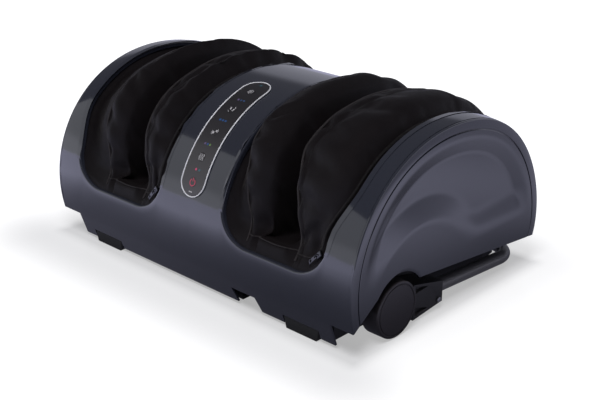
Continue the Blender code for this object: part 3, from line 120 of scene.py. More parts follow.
# The room that the gloss mirrors: pale walls that end higher behind the massager, and a dark ceiling
world = bpy.data.worlds.new("studio")
bpy.context.scene.world = world
world.use_nodes = True
tree = world.node_tree
way = wired(tree, "SeparateXYZ", Vector=wired(tree, "TexCoord")["Generated"])
behind = calc(tree, "SUBTRACT", calc(tree, "MULTIPLY", way["Y"], 0.69), calc(tree, "MULTIPLY", way["X"], 0.72))
wall_top = ramp(tree, behind, 0.1, 0.7, 0.14, 0.34)
dark = ramp(tree, calc(tree, "SUBTRACT", way["Z"], wall_top), -0.06, 0.10)
level = ramp(tree, dark, 0.0, 1.0, ramp(tree, way["X"], -0.3, 0.9, 0.34, 0.85), 0.10)
tint = wired(tree, "CombineColor", *[calc(tree, "MULTIPLY", level, share) for share in ROOM_TINT])
room = feed(tree.nodes["Background"], Color=tint["Color"], Strength=1)
white = wired(tree, "Background", Color=(1, 1, 1, 1), Strength=1)
path = wired(tree, "LightPath")
direct = calc(tree, "MAXIMUM", path["Is Camera Ray"], path["Is Transmission Ray"])
feed(tree.nodes["World Output"], Surface=wired(tree, "MixShader", direct, room[0], white[0])[0])

# The floor glows white away from the massager, and keeps its shadow close to it. Close to it the glow the camera sees
# is painted down, a painted shadow and a painted reflection of the slate, lowest in front; to glossy rays the floor
# shows a painted glow, dim near the massager and behind it and brighter to its left.
bpy.ops.mesh.primitive_plane_add(size=FLOOR_SIZE, location=(0, 0, 0))
floor = bpy.context.object
floor.name = "floor"
floor_finish = bpy.data.materials.new("floor_white")
floor_finish.use_nodes = True
tree = floor_finish.node_tree
spot = wired(tree, "SeparateXYZ", Vector=wired(tree, "TexCoord")["Object"])
squares = []
for axis, half in (("X", SHADE_HALF_X), ("Y", SHADE_HALF_Y)):
    off = calc(tree, "MAXIMUM", calc(tree, "SUBTRACT", calc(tree, "ABSOLUTE", spot[axis]), half), 0)
    squares.append(calc(tree, "POWER", off, 2))
away = calc(tree, "SQRT", calc(tree, "ADD", *squares))
path = wired(tree, "LightPath")
# Painted shadow and painted reflection: the camera's glow falls off close to the massager, most in front
front = ramp(tree, spot["Y"], -0.22, -0.10, 0.40, 0.66)
glow = ramp(tree, away, 0.0, 0.16, ramp(tree, away, -0.03, 0.02, 0.0, front), 0.95)
matt = feed(tree.nodes["Principled BSDF"], Base_Color=(0.50, 0.50, 0.51, 1), Roughness=0.09, Specular_IOR_Level=0.75,
            Emission_Color=(1, 1, 1, 1), Emission_Strength=calc(tree, "MULTIPLY", path["Is Camera Ray"], glow))
# Painted reflection and painted shade: the glow that glossy rays see, graded across, dimmer behind and near the
# massager
across = ramp(tree, spot["X"], 0.22, 0.36, ramp(tree, spot["X"], -0.25, 0.15, 1.15, 0.62), 0.95)
back = ramp(tree, spot["Y"], 0.12, 0.5, 1.0, 0.4)
near = ramp(tree, away, -0.02, 0.34, 0.14, 1.0)
painted_reflection_glow = wired(tree, "Emission", Color=FLOOR_TINT,
                 Strength=calc(tree, "MULTIPLY", near, calc(tree, "MULTIPLY", across, back)))
feed(tree.nodes["Material Output"], Surface=wired(tree, "MixShader", path["Is Glossy Ray"], matt[0], painted_reflection_glow[0])[0])
floor.data.materials.append(floor_finish)


# Top shell. One glossy slate-blue moulding: a barrel outline drawn across the width, with two
# openings for the feet whose edges turn in with a small round, and a skirt down to the floor.
WIDTH = 460 * mm
HALF = WIDTH / 2
TIP_REACH = 155 * mm
FRONT_TIP_Z = 31 * mm
REAR_TIP_Z = 34 * mm
CREST_Y = -6 * mm
CREST_Z = 205 * mm
FRONT_HANDLE = Vector((-21.5, 84.5)) * mm
REAR_HANDLE = Vector((18.5, 45)) * mm
CREST_FRONT_REACH = 111.5 * mm
CREST_REAR_REACH = 142 * mm
CROWN = 4 * mm
CROWN_POWER = 10
SKIRT_BOTTOM_Z = 4 * mm
SKIRT_TUCK = 9 * mm
COVER_WALL = 3 * mm
SEAM = 0.12 * mm
SHELL_HALF = HALF - COVER_WALL - SEAM
SHELL_WALL = 2.2 * mm
WELL_IN_X = 48 * mm
WELL_OUT_LOW_X = 193 * mm
WELL_OUT_HIGH_X = 206.5 * mm
WELL_FLARE_Z = 166 * mm
WELL_CORNER_R = 40 * mm
FLARE_RUN = 12 * mm
FRONT_LIP_Z = 75.5 * mm
REAR_LIP_Z = 112 * mm
RIM_ROUND = 2.4 * mm
RIM_DEPTH = 6 * mm
SKIN_ROWS = 12
LAST_SHARE = 0.965
ROUND_STEPS = 5
LOOP_SIDE, LOOP_CORNER, LOOP_LIP = 16, 36, 16
FOOT_X = 155 * mm
FOOT_HALF = 24.8 * mm
FOOT_TOP_Z = 14.3 * mm
END_CUT_X = 199.5 * mm
NOTCH_X = 74.5 * mm
NOTCH_WIDTH = 35 * mm
NOTCH_TOP_Z = 20.5 * mm
NOTCH_FLARE = 14.4 * mm
INLET_X, INLET_Z = -66 * mm, 62 * mm
INLET_HALF_WIDTH, INLET_HALF_HEIGHT = 14.3 * mm, 10.3 * mm
SIDES = (("left", -1), ("right", 1))


def bezier(a, b, c, d, t):
    return a * (1 - t) ** 3 + b * 3 * (1 - t) ** 2 * t + c * 3 * (1 - t) * t * t + d * t**3


def side_curve(t):
    """(y, z) on the side outline: 0 is the front tip, 1 the crest, 2 the rear tip, and below 0 the skirt."""
    tip, crest, rear = Vector((-TIP_REACH, FRONT_TIP_Z)), Vector((CREST_Y, CREST_Z)), Vector((TIP_REACH, REAR_TIP_Z))
    if t < 0:
        return tip + Vector((SKIRT_TUCK, SKIRT_BOTTOM_Z - FRONT_TIP_Z)) * -t
    if t <= 1:
        return bezier(tip, tip + FRONT_HANDLE, crest - Vector((CREST_FRONT_REACH, 0)), crest, t)
    return bezier(crest, crest + Vector((CREST_REAR_REACH, 0)), rear + REAR_HANDLE, rear, t - 1)


def side_normal(t):
    nudge = 1e-3
    low, high = (max(t - nudge, 0), min(t + nudge, 2)) if t >= 0 else (t - nudge, t)
    along = side_curve(high) - side_curve(low)
    return Vector((-along.y, along.x)).normalized() * (1 if t >= 0 else -1)


def skin_point(x, t, offset=0.0):
    """A point on the housing's outer skin, or `offset` outside it."""
    p = side_curve(t)
    height = max((p.y - FRONT_TIP_Z) / (CREST_Z - FRONT_TIP_Z), 0)
    swell = CROWN * (1 - min(abs(x) / HALF, 1) ** CROWN_POWER) * height * height
    p += side_normal(t) * (swell + offset)
    return Vector((x, p.x, p.y))


def halved(low, high, too_low):
    """Where a test turns, found by halving."""
    for _ in range(40):
        middle = (low + high) / 2
        low, high = (middle, high) if too_low(middle) else (low, middle)
    return (low + high) / 2


def t_at_height(z, rear=False):
    low, high = (1, 2) if rear else (0, 1)
    return halved(low, high, lambda t: (side_curve(t).y < z) != rear)


def smooth(share):
    share = min(max(share, 0), 1)
    return share * share * (3 - 2 * share)


def outer_rim_x(z, lip_z):
    start = lip_z + WELL_CORNER_R
    top = max(WELL_FLARE_Z, start + FLARE_RUN)
    return WELL_OUT_LOW_X + (WELL_OUT_HIGH_X - WELL_OUT_LOW_X) * smooth((z - start) / (top - start))


def opening_loop():
    """(x, t) round the right opening with the matching (x, t) on the half shell's border, as pairs."""
    r = WELL_CORNER_R
    in_x, out_x = WELL_IN_X + r, WELL_OUT_LOW_X - r
    pairs = []
    for rear in (False, True):
        lip_z = REAR_LIP_Z if rear else FRONT_LIP_Z
        edge_t = 2 if rear else -1.0
        t_side, t_lip = t_at_height(lip_z + r, rear), t_at_height(lip_z, rear)
        half = []
        for i in range(LOOP_SIDE):
            t = 1 + (t_side - 1) * i / LOOP_SIDE
            half.append(((WELL_IN_X, t), (0, t)))
        for i in range(LOOP_CORNER):
            share, a = i / LOOP_CORNER, math.pi / 2 * i / LOOP_CORNER
            t = t_at_height(lip_z + r - r * math.sin(a), rear)
            border = (0, t_side + (edge_t - t_side) * share * 2) if share < 0.5 else (in_x * (share * 2 - 1), edge_t)
            half.append(((in_x - r * math.cos(a), t), border))
        for i in range(LOOP_LIP):
            x = in_x + (WELL_OUT_LOW_X - WELL_IN_X - 2 * r) * i / LOOP_LIP
            half.append(((x, t_lip), (x, edge_t)))
        for i in range(LOOP_CORNER):
            share, a = i / LOOP_CORNER, math.pi / 2 * i / LOOP_CORNER
            t = t_at_height(lip_z + r - r * math.cos(a), rear)
            if share < 0.5:
                border = (out_x + (SHELL_HALF - out_x) * share * 2, edge_t)
            else:
                border = (SHELL_HALF, edge_t + (t_side - edge_t) * (share * 2 - 1))
            half.append(((out_x + r * math.sin(a), t), border))
        for i in range(LOOP_SIDE):
            t = t_side + (1 - t_side) * i / LOOP_SIDE
            half.append(((outer_rim_x(side_curve(t).y, lip_z), t), (SHELL_HALF, t)))
        if rear:
            half = [((outer_rim_x(CREST_Z, lip_z), 1), (SHELL_HALF, 1))] + half[:0:-1]
        pairs += half
    return pairs


def shell_half(side_way):
    """Rows of points from the border in to the opening's edge, round it and down its flange."""
    pairs = opening_loop()
    edge = [skin_point(*inner) for inner, _ in pairs]
    rows = []
    for i in range(SKIN_ROWS + 1):
        share = 1 - i / SKIN_ROWS * LAST_SHARE
        rows.append([skin_point(x + (border_x - x) * share, t + (border_t - t) * share)
                     for (x, t), (border_x, border_t) in pairs])
    turned = []
    for k, ((x, t), _) in enumerate(pairs):
        out = (skin_point(x, t, 1 * mm) - skin_point(x, t)).normalized()
        along = (edge[(k + 1) % len(edge)] - edge[k - 1]).normalized()
        turned.append((out, along.cross(out).normalized()))
    for i in range(ROUND_STEPS + 1):
        a = math.pi / 2 * i / ROUND_STEPS
        rows.append([p + inward * RIM_ROUND * (1 - math.sin(a)) - out * RIM_ROUND * (1 - math.cos(a))
                     for p, (out, inward) in zip(edge, turned)])
    rows.append([p - out * RIM_DEPTH for p, (out, _) in zip(edge, turned)])
    return [[Vector((side_way * p.x, p.y, p.z)) for p in row] for row in rows]


def mesh_object(name, points, faces, edges=()):
    mesh = bpy.data.meshes.new(name)
    mesh.from_pydata(points, list(edges), faces)
    return add_object(name, mesh)


def face_outwards(obj, weld=0.0):
    """Merges points closer than `weld` and turns a piece's faces outwards."""
    work = bmesh.new()
    work.from_mesh(obj.data)
    if weld:
        bmesh.ops.remove_doubles(work, verts=work.verts, dist=weld)
        bmesh.ops.dissolve_degenerate(work, edges=work.edges, dist=weld / 10)
    bmesh.ops.recalc_face_normals(work, faces=work.faces)
    highest = max(work.faces, key=lambda f: f.calc_center_median().z * f.normal.z)
    if highest.normal.z < 0:
        bmesh.ops.reverse_faces(work, faces=work.faces)
    work.to_mesh(obj.data)
    work.free()


def only(obj):
    """Selects one object and makes it active."""
    bpy.ops.object.select_all(action="DESELECT")
    obj.select_set(True)
    bpy.context.view_layer.objects.active = obj


def shade(obj, angle=35):
    """Shades a piece smooth but for the edges that are sharper than the angle."""
    only(obj)
    bpy.ops.object.shade_smooth_by_angle(angle=math.radians(angle))


def modify(obj, kind, **settings):
    """Adds a modifier and applies it."""
    made = obj.modifiers.new(kind.lower(), kind)
    for name, value in settings.items():
        setattr(made, name, value)
    only(obj)
    bpy.ops.object.modifier_apply(modifier=made.name)


def edited(obj, *actions):
    """Runs operators on the whole of a piece in edit mode."""
    only(obj)
    bpy.ops.object.mode_set(mode="EDIT")
    for action in actions:
        bpy.ops.mesh.select_all(action="SELECT")
        action()
    bpy.ops.object.mode_set(mode="OBJECT")


def box(low, high):
    """A box between two corners."""
    bpy.ops.object.select_all(action="DESELECT")
    bpy.ops.mesh.primitive_cube_add(size=1, location=[(a + b) / 2 for a, b in zip(low, high)],
                                    scale=[b - a for a, b in zip(low, high)])
    bpy.ops.object.transform_apply(location=True, rotation=True, scale=True)
    return bpy.context.object


def cut(obj, tool):
    """Cuts a tool's shape out of a piece and removes the tool."""
    modify(obj, "BOOLEAN", object=tool)
    bpy.data.objects.remove(tool)


def dress(piece, finish, body, node=None):
    """Gives a piece its material and its body, and hides the CAD node that it stands for."""
    piece.data.materials.append(finish)
    if node:
        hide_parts(node)
    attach(piece, body)


def shader_group(name, inputs):
    """An empty node group with these inputs, and a colour, a roughness and a normal to give."""
    group = bpy.data.node_groups.new(name, "ShaderNodeTree")
    for label, value in inputs.items():
        kind = "NodeSocketColor" if label == "Tone" else "NodeSocketFloat"
        group.interface.new_socket(label, in_out="INPUT", socket_type=kind).default_value = value
    for label, kind in (("Colour", "Color"), ("Roughness", "Float"), ("Normal", "Vector")):
        group.interface.new_socket(label, in_out="OUTPUT", socket_type="NodeSocket" + kind)
    return group, group.nodes.new("NodeGroupInput").outputs, group.nodes.new("NodeGroupOutput")


def surface_group():
    """Cloudy tone, fine grain and dust that settles on faces turned upwards."""
    group, given, result = shader_group("handled_surface", {
        "Tone": (0.5, 0.5, 0.5, 1), "Variation": 0.1, "Roughness": 0.4, "Smear": 0.1, "Grain Scale": 900.0,
        "Grain Height": 0.1, "Dust": 0.05})
    place = wired(group, "TexCoord")["Object"]
    cloud = wired(group, "TexNoise", Vector=place, Scale=14, Detail=5)["Fac"]
    spread = wired(group, "MapRange", Value=cloud, To_Min=calc(group, "SUBTRACT", 1, given["Variation"]),
                   To_Max=calc(group, "ADD", 1, given["Variation"]))[0]
    clean = wired(group, "VectorMath", operation="SCALE", Vector=given["Tone"], Scale=spread)[0]
    upward = wired(group, "SeparateXYZ", Vector=wired(group, "NewGeometry")["Normal"])["Z"]
    speck = wired(group, "TexNoise", Vector=place, Scale=420, Detail=6)["Fac"]
    dust = calc(group, "MULTIPLY", calc(group, "MULTIPLY", upward, speck, clamp=True), given["Dust"])
    colour = wired(group, "Mix", data_type="RGBA", Factor=dust, A=clean, B=(0.35, 0.34, 0.33, 1))["Result"]
    wiped = wired(group, "TexNoise", Vector=place, Scale=32, Detail=7, Roughness=0.7)["Fac"]
    smear = calc(group, "MULTIPLY", wiped, given["Smear"])
    grain = wired(group, "TexNoise", Vector=place, Scale=given["Grain Scale"], Detail=3)["Fac"]
    feed(result, Colour=colour, Roughness=calc(group, "ADD", smear, given["Roughness"], clamp=True),
         Normal=wired(group, "Bump", Distance=0.1 * mm, Strength=given["Grain Height"], Height=grain)["Normal"])
    return group


def grouped_material(name, group, tone, roughness, settings, **shader_settings):
    """A Principled material that takes its colour, roughness and normal from a node group."""
    made = bpy.data.materials.new(name)
    made.use_nodes = True
    named = {key.title(): value for key, value in settings.items()}
    look = wired(made.node_tree, "Group", node_tree=group, Tone=(*tone, 1), Roughness=roughness, **named)
    feed(made.node_tree.nodes["Principled BSDF"], Base_Color=look["Colour"], Roughness=look["Roughness"],
         Normal=look["Normal"], **shader_settings)
    return made


SURFACE = surface_group()


def moulded(name, tone, roughness, metallic=0.0, coat=0.0, **settings):
    """Plastic, paint or metal on the shared surface group."""
    return grouped_material(name, SURFACE, tone, roughness, settings, Metallic=metallic, Coat_Weight=coat,
                            Coat_Roughness=0.06)


SLATE = moulded("slate_gloss", (0.017, 0.019, 0.029), 0.10, coat=0.9, variation=0.04, smear=0.05, grain_height=0.01,
                dust=0.02)

shell_points, shell_faces = [], []
for way in (-1, 1):
    rows = shell_half(way)
    size, base = len(rows[0]), len(shell_points)
    shell_points += [p for row in rows for p in row]
    for start in range(base, base + (len(rows) - 1) * size, size):
        for j in range(size):
            k = (j + 1) % size
            shell_faces.append((start + j, start + k, start + size + k, start + size + j))
shell = mesh_object("housing_shell", shell_points, shell_faces)
face_outwards(shell, 1e-5)
modify(shell, "SOLIDIFY", thickness=SHELL_WALL, offset=-1)
shade(shell)
front_y, rear_y, under_z = -170 * mm, 170 * mm, -20 * mm
for way in (-1, 1):
    x = sorted((way * END_CUT_X, way * (HALF + 10 * mm)))
    cut(shell, box((x[0], front_y, under_z), (x[1], rear_y, FRONT_TIP_Z)))
    cut(shell, box((way * FOOT_X - FOOT_HALF, front_y, under_z), (way * FOOT_X + FOOT_HALF, -120 * mm, FOOT_TOP_Z)))
notch = box((NOTCH_X - NOTCH_WIDTH / 2, front_y, under_z), (NOTCH_X + NOTCH_WIDTH / 2, -120 * mm, NOTCH_TOP_Z))
for v in notch.data.vertices:
    if v.co.z < 0:
        v.co.x += NOTCH_FLARE
cut(shell, notch)
cut(shell, box((INLET_X - INLET_HALF_WIDTH, 120 * mm, INLET_Z - INLET_HALF_HEIGHT),
               (INLET_X + INLET_HALF_WIDTH, rear_y, INLET_Z + INLET_HALF_HEIGHT)))
shade(shell)
dress(shell, SLATE, "housing", "top_shell")


# Side covers. Each end of the barrel is closed by a moulded cover in the same slate gloss: a flat
# rim, a fine groove inside it and a shallow dish that fades out above the wheel and its arch. It
# snaps on to the shell from the side.
COVER_IN_X = HALF - COVER_WALL
DISH_DEPTH = 5 * mm
DISH_START = 16 * mm
DISH_SLOPE = 19 * mm
PIVOT = Vector((-87, 31)) * mm
FENDER_Y = -50 * mm
FENDER_R = 81 * mm
FENDER_SLOPE = 30 * mm
DISH_LOW_Z = 66 * mm
DISH_LOW_SLOPE = 36 * mm
ARCH_R = 41 * mm
ARCH_DEGREES = (142, 38)
COVER_RIBS = 128
FACE_ROWS = 32
# Across the rim and the groove: the inset from the outline and how far the face is sunk, in millimetres
RIM_PROFILE = ((0, 1.8), (0, 1.0), (0.3, 0.35), (1.0, 0), (9.6, 0), (10, 0.3), (10.1, 1.2), (11.1, 1.2), (11.2, 0.3),
               (11.6, 0))
OUTLINE = [side_curve(2 * i / 160) for i in range(161)]


def slope_share(share, soft=0.3):
    """A straight slope with a soft start and a crisp end."""
    share = min(max(share, 0), 1)
    rise = 1 / (1 - soft / 2)
    return rise * share * share / (2 * soft) if share < soft else rise * (share - soft / 2)


def dish(p):
    """How deep the cover's face is dished at (y, z)."""
    rim = min((p - q).length for q in OUTLINE)
    around = (p - Vector((FENDER_Y, PIVOT.y))).length
    share = slope_share((rim - DISH_START) / DISH_SLOPE)
    share *= 1 - slope_share(1 - (around - FENDER_R) / FENDER_SLOPE, 0.15)
    return DISH_DEPTH * share * smooth((p.y - DISH_LOW_Z) / DISH_LOW_SLOPE)


def make_cover(name, side_way):
    """The cover's rows, from its rim over its face to the arch and back behind it."""
    slope_end = DISH_START + DISH_SLOPE
    ribs = []
    for i in range(COVER_RIBS + 1):
        share = i / COVER_RIBS
        turn = math.radians(ARCH_DEGREES[0] + (ARCH_DEGREES[1] - ARCH_DEGREES[0]) * share)
        arch = PIVOT + Vector((math.cos(turn), math.sin(turn))) * ARCH_R
        edge, outward = side_curve(2 * share), side_normal(2 * share)
        lean = smooth(1 - min(share, 1 - share) * 8)
        direction = ((arch - edge).normalized() * lean - outward * (1 - lean)).normalized()
        reach = min((arch - edge).length / (slope_end * 1.15), 1)
        ribs.append((edge, direction / -direction.dot(outward) * reach, arch))

    def row(inset, beyond=0, face=HALF, sunk=0.0):
        points = []
        for edge, direction, arch in ribs:
            p = edge + direction * inset
            p += (arch - p) * beyond
            points.append(Vector((side_way * (face - sunk - dish(p)), p.x, p.y)))
        return points

    rows = [row(inset * mm, sunk=sunk * mm) for inset, sunk in RIM_PROFILE]
    rows += [row(DISH_START + DISH_SLOPE * k / 10) for k in range(11)]
    rows += [row(slope_end, k / FACE_ROWS) for k in range(1, FACE_ROWS)]
    rows += [row(slope_end, 0.99), row(slope_end, 1, sunk=0.6 * mm)]
    rows += [row(slope_end, 1, COVER_IN_X), row(slope_end, 0.5, COVER_IN_X), row(slope_end, 0, COVER_IN_X),
             row(0, 0, COVER_IN_X)]
    size = COVER_RIBS + 1
    faces = []
    for i in range(len(rows)):
        a, b = i * size, (i + 1) % len(rows) * size
        faces += [(a + j, a + j + 1, b + j + 1, b + j) for j in range(size - 1)]
    faces += [tuple(i * size + end for i in range(len(rows))) for end in (0, size - 1)]
    made = mesh_object(name, [p for line in rows for p in line], faces)
    face_outwards(made)
    shade(made, 32)
    return made


for side, way in SIDES:
    dress(make_cover(f"end_cover_{side}", way), SLATE, "housing", f"side_cover_{side}")


# Control panel. A smoked overlay with half-round ends is bonded along the ridge between the wells,
# inside a polished trim ring. Five round keys show flush through it, each printed with its sign,
# and small lamps between them shine through the smoke.
PANEL_LOW_Z = 109 * mm
PANEL_HIGH_Y = -40 * mm
PANEL_HALF_WIDTH = 16.5 * mm
PANEL_BASE = 0.3 * mm
PANEL_THICK = 1.2 * mm
PANEL_TOP = PANEL_BASE + PANEL_THICK
TRIM_WIDTH = 1.6 * mm
TRIM_LIFT = 0.75 * mm
KEY_R = 5 * mm
KEY_LENGTH = 6 * mm
KEY_TOP = PANEL_TOP + 0.2 * mm
KEY_GAP = 0.3 * mm
KEY_LINE = 0.12 * mm
KEY_FLANGE_R = 6.8 * mm
KEY_SHARES = {"power": 0.10, "heat": 0.29, "roller": 0.49, "kneading": 0.69, "auto": 0.88}
PRINT_THICK = 0.05 * mm
SIGN_REACH = 4.7 * mm

PANEL_LOW_T = t_at_height(PANEL_LOW_Z)
PANEL_HIGH_T = halved(0.3, 1, lambda t: side_curve(t).x < PANEL_HIGH_Y)
RIDGE = [(PANEL_LOW_T - 0.1 + (PANEL_HIGH_T - PANEL_LOW_T + 0.2) * i / 240) for i in range(241)]
RIDGE_S = [0.0]
for before, after in zip(RIDGE, RIDGE[1:]):
    RIDGE_S.append(RIDGE_S[-1] + (skin_point(0, after) - skin_point(0, before)).length)


def between(xs, ys, x):
    """Straight-line reading of a table."""
    for k in range(len(xs) - 1):
        if x <= xs[k + 1]:
            break
    return ys[k] + (ys[k + 1] - ys[k]) * (x - xs[k]) / (xs[k + 1] - xs[k])


PANEL_START = between(RIDGE, RIDGE_S, PANEL_LOW_T)
PANEL_LENGTH = between(RIDGE, RIDGE_S, PANEL_HIGH_T) - PANEL_START


def panel_point(x, along_panel, offset):
    """A point over the ridge's middle line: the panel is flat across its width."""
    p = skin_point(0, between(RIDGE_S, RIDGE, PANEL_START + along_panel), offset)
    return Vector((x, p.y, p.z))


def key_place(share):
    """A key's place on the ridge's skin and the direction out of it."""
    t = PANEL_LOW_T + (PANEL_HIGH_T - PANEL_LOW_T) * share
    n = side_normal(t)
    return skin_point(0, t), Vector((0, n.x, n.y))


def spun(name, profile, centre, axis, across, steps=48):
    """(along, radius) points spun a full turn about an axis, closed and turned outwards."""
    made = mesh_object(name, [centre + axis * a + across * r for a, r in profile], [],
                       [(k, k + 1) for k in range(len(profile) - 1)])
    edited(made, lambda: bpy.ops.mesh.spin(steps=steps, angle=2 * math.pi, center=centre, axis=axis),
           lambda: bpy.ops.mesh.remove_doubles(threshold=1e-6),
           lambda: bpy.ops.mesh.normals_make_consistent(inside=False))
    return made


def round_cord(name, path, radius, sides=10, closed=False):
    """A round rod or cord swept along a line of points, as a closed mesh."""
    curve = bpy.data.curves.new(name, "CURVE")
    curve.dimensions = "3D"
    curve.bevel_depth = radius
    curve.bevel_resolution = max(sides // 4 - 1, 0)
    curve.use_fill_caps = not closed
    spline = curve.splines.new("POLY")
    spline.points.add(len(path) - 1)
    for point, place in zip(spline.points, path):
        point.co = (*place, 1)
    spline.use_cyclic_u = closed
    only(add_object(name, curve))
    bpy.ops.object.convert(target="MESH")
    bpy.ops.object.shade_smooth()
    return bpy.context.object


bpy.ops.object.select_all(action="DESELECT")
bpy.ops.mesh.primitive_grid_add(x_subdivisions=16, y_subdivisions=90, size=2)
overlay = bpy.context.object
overlay.name = overlay.data.name = "panel_face"
for v in overlay.data.vertices:
    s = PANEL_LENGTH * (0.5 - 0.5 * math.cos(math.pi * (v.co.y + 1) / 2))
    inside = max(PANEL_HALF_WIDTH - min(s, PANEL_LENGTH - s), 0)
    half_width = math.sqrt(max(PANEL_HALF_WIDTH**2 - inside**2, 0))
    v.co = panel_point(v.co.x * max(half_width, 0.6 * mm), s, PANEL_TOP)
modify(overlay, "SOLIDIFY", thickness=PANEL_THICK, offset=-1)
shade(overlay)
hole_r, hole_reach = KEY_R + KEY_LINE, 8 * mm
for share in KEY_SHARES.values():
    cut(overlay, spun("hole", [(-hole_reach, 0), (-hole_reach, hole_r), (hole_reach, hole_r), (hole_reach, 0)],
                      *key_place(share), Vector((1, 0, 0))))
shade(overlay)

# The smoke's colour is painted paler at its lower end and darker higher up: a painted reflection
SMOKE = moulded("panel_smoke", (0.045, 0.042, 0.046), 0.30, coat=0.2, variation=0.05, smear=0.06, grain_height=0.02,
                dust=0.02)
tree = SMOKE.node_tree
shader = tree.nodes["Principled BSDF"]
even = shader.inputs["Base Color"].links[0].from_socket
height = wired(tree, "SeparateXYZ", Vector=wired(tree, "TexCoord")["Object"])["Z"]
painted_reflection_fade = wired(tree, "MapRange", Value=height, From_Min=PANEL_LOW_Z, From_Max=195 * mm, To_Min=1.15, To_Max=0.35)[0]
feed(shader, Base_Color=wired(tree, "VectorMath", operation="SCALE", Vector=even, Scale=painted_reflection_fade)[0])
dress(overlay, SMOKE, "housing", "panel_overlay")

trim_half = PANEL_HALF_WIDTH + KEY_GAP + TRIM_WIDTH / 2
trim_low, trim_high = PANEL_HALF_WIDTH, PANEL_LENGTH - PANEL_HALF_WIDTH
HALF_TURN = [(math.cos(math.pi * k / 24), math.sin(math.pi * k / 24)) for k in range(1, 24)]
trim_line = [(trim_half, trim_low + (trim_high - trim_low) * k / 40) for k in range(41)]
trim_line += [(trim_half * c, trim_high + trim_half * s) for c, s in HALF_TURN]
trim_line += [(-trim_half, trim_high + (trim_low - trim_high) * k / 40) for k in range(41)]
trim_line += [(-trim_half * c, trim_low - trim_half * s) for c, s in HALF_TURN]
POLISHED = moulded("polished_trim", (0.80, 0.80, 0.84), 0.38, metallic=0.15, variation=0.03, smear=0.05,
                   grain_height=0.02, dust=0.0)
trim = round_cord("panel_trim", [panel_point(x, s, PANEL_BASE + TRIM_LIFT) for x, s in trim_line], TRIM_WIDTH / 2,
                  12, True)
dress(trim, POLISHED, "housing", "panel_bezel")


def printed(name, colour, glow):
    """Print or lamp light on the smoked face: a plain colour with a soft mottling that glows by `glow`; on the lamps
    this is their own light, on the print it is a painted glow.
    """
    made = moulded(name, colour, 0.35, variation=0.12, smear=0.1, grain_height=0.05, dust=0.0)
    feed(made.node_tree.nodes["Principled BSDF"], Emission_Color=(*colour, 1), Emission_Strength=glow)
    return made


# The signs' print glows faintly though it is no lamp: a painted glow
PAINTED_GLOW_PRINT = printed("sign_print", (0.42, 0.41, 0.43), 0.12)
PAINTED_GLOW_RED_PRINT = printed("sign_red", (0.38, 0.045, 0.085), 0.2)
PINK_LAMP = printed("lamp_pink", (0.42, 0.05, 0.12), 0.25)
BLUE_LAMP = printed("lamp_blue", (0.02, 0.062, 0.18), 0.22)
DIM_BLUE_LAMP = printed("lamp_dim_blue", (0.028, 0.055, 0.13), 0.15)
VIOLET_LAMP = printed("lamp_violet", (0.10, 0.075, 0.16), 0.12)
TEAL_LAMP = printed("lamp_teal", (0.03, 0.10, 0.13), 0.12)
GREEN_LAMP = printed("lamp_green", (0.10, 0.17, 0.06), 0.2)


def line_faces(points, width):
    """A flat stroke of one width along (u, v) points, as corner quads."""
    ends = []
    for k, (u, v) in enumerate(points):
        a, b = points[max(k - 1, 0)], points[min(k + 1, len(points) - 1)]
        away = math.hypot(b[0] - a[0], b[1] - a[1]) or 1
        du, dv = -(b[1] - a[1]) / away * width / 2, (b[0] - a[0]) / away * width / 2
        ends.append(((u + du, v + dv), (u - du, v - dv)))
    return [(a, b, d, c) for (a, b), (c, d) in zip(ends, ends[1:])]


def arc(u, v, radius, start, end, count=24):
    turns = [math.radians(start + (end - start) * k / count) for k in range(count + 1)]
    return [(u + radius * math.cos(a), v + radius * math.sin(a)) for a in turns]


def disc_face(u, v, radius, count=20):
    return [tuple(arc(u, v, radius, 0, 360, count)[:-1])]


def foot_faces(u, v, turn):
    """A sole with its toes, turned a little."""
    c, s = math.cos(math.radians(turn)), math.sin(math.radians(turn))
    turns = [2 * math.pi * k / 20 for k in range(20)]
    sole = [(0.62 * math.cos(a) * (1 + 0.25 * math.sin(a)), 1.35 * math.sin(a)) for a in turns]
    made = [tuple((u + x * c - y * s, v + x * s + y * c) for x, y in sole)]
    for k in range(4):
        x, y = -0.55 + k * 0.38, 1.75 - abs(k - 1) * 0.14
        made += disc_face(u + x * c - y * s, v + x * s + y * c, 0.19, 8)
    return made


def lay_print(name, faces, middle, outward, lift, finish, body, size=mm):
    """Flat (u, v) faces laid on the panel or a key, as a thin raised print."""
    across = Vector((1, 0, 0))
    up = outward.cross(across)
    points, shapes = [], []
    for face in faces:
        shapes.append(tuple(range(len(points), len(points) + len(face))))
        points += [middle + outward * lift + (across * u + up * v) * size for u, v in face]
    made = mesh_object(name, points, shapes)
    edited(made, lambda: bpy.ops.mesh.remove_doubles(threshold=1e-6))
    if made.data.polygons[0].normal.dot(outward) < 0:
        made.data.flip_normals()
    modify(made, "SOLIDIFY", thickness=PRINT_THICK, offset=-1)
    dress(made, finish, body)


def wave(u):
    return [(u + 0.5 * math.sin(k * 0.7), -2.2 + k * 0.31) for k in range(15)]


def spiral():
    turns = [(0.35 + 0.0036 * a, math.radians(a)) for a in range(0, 640, 16)]
    return [(r * math.cos(a), r * math.sin(a)) for r, a in turns]


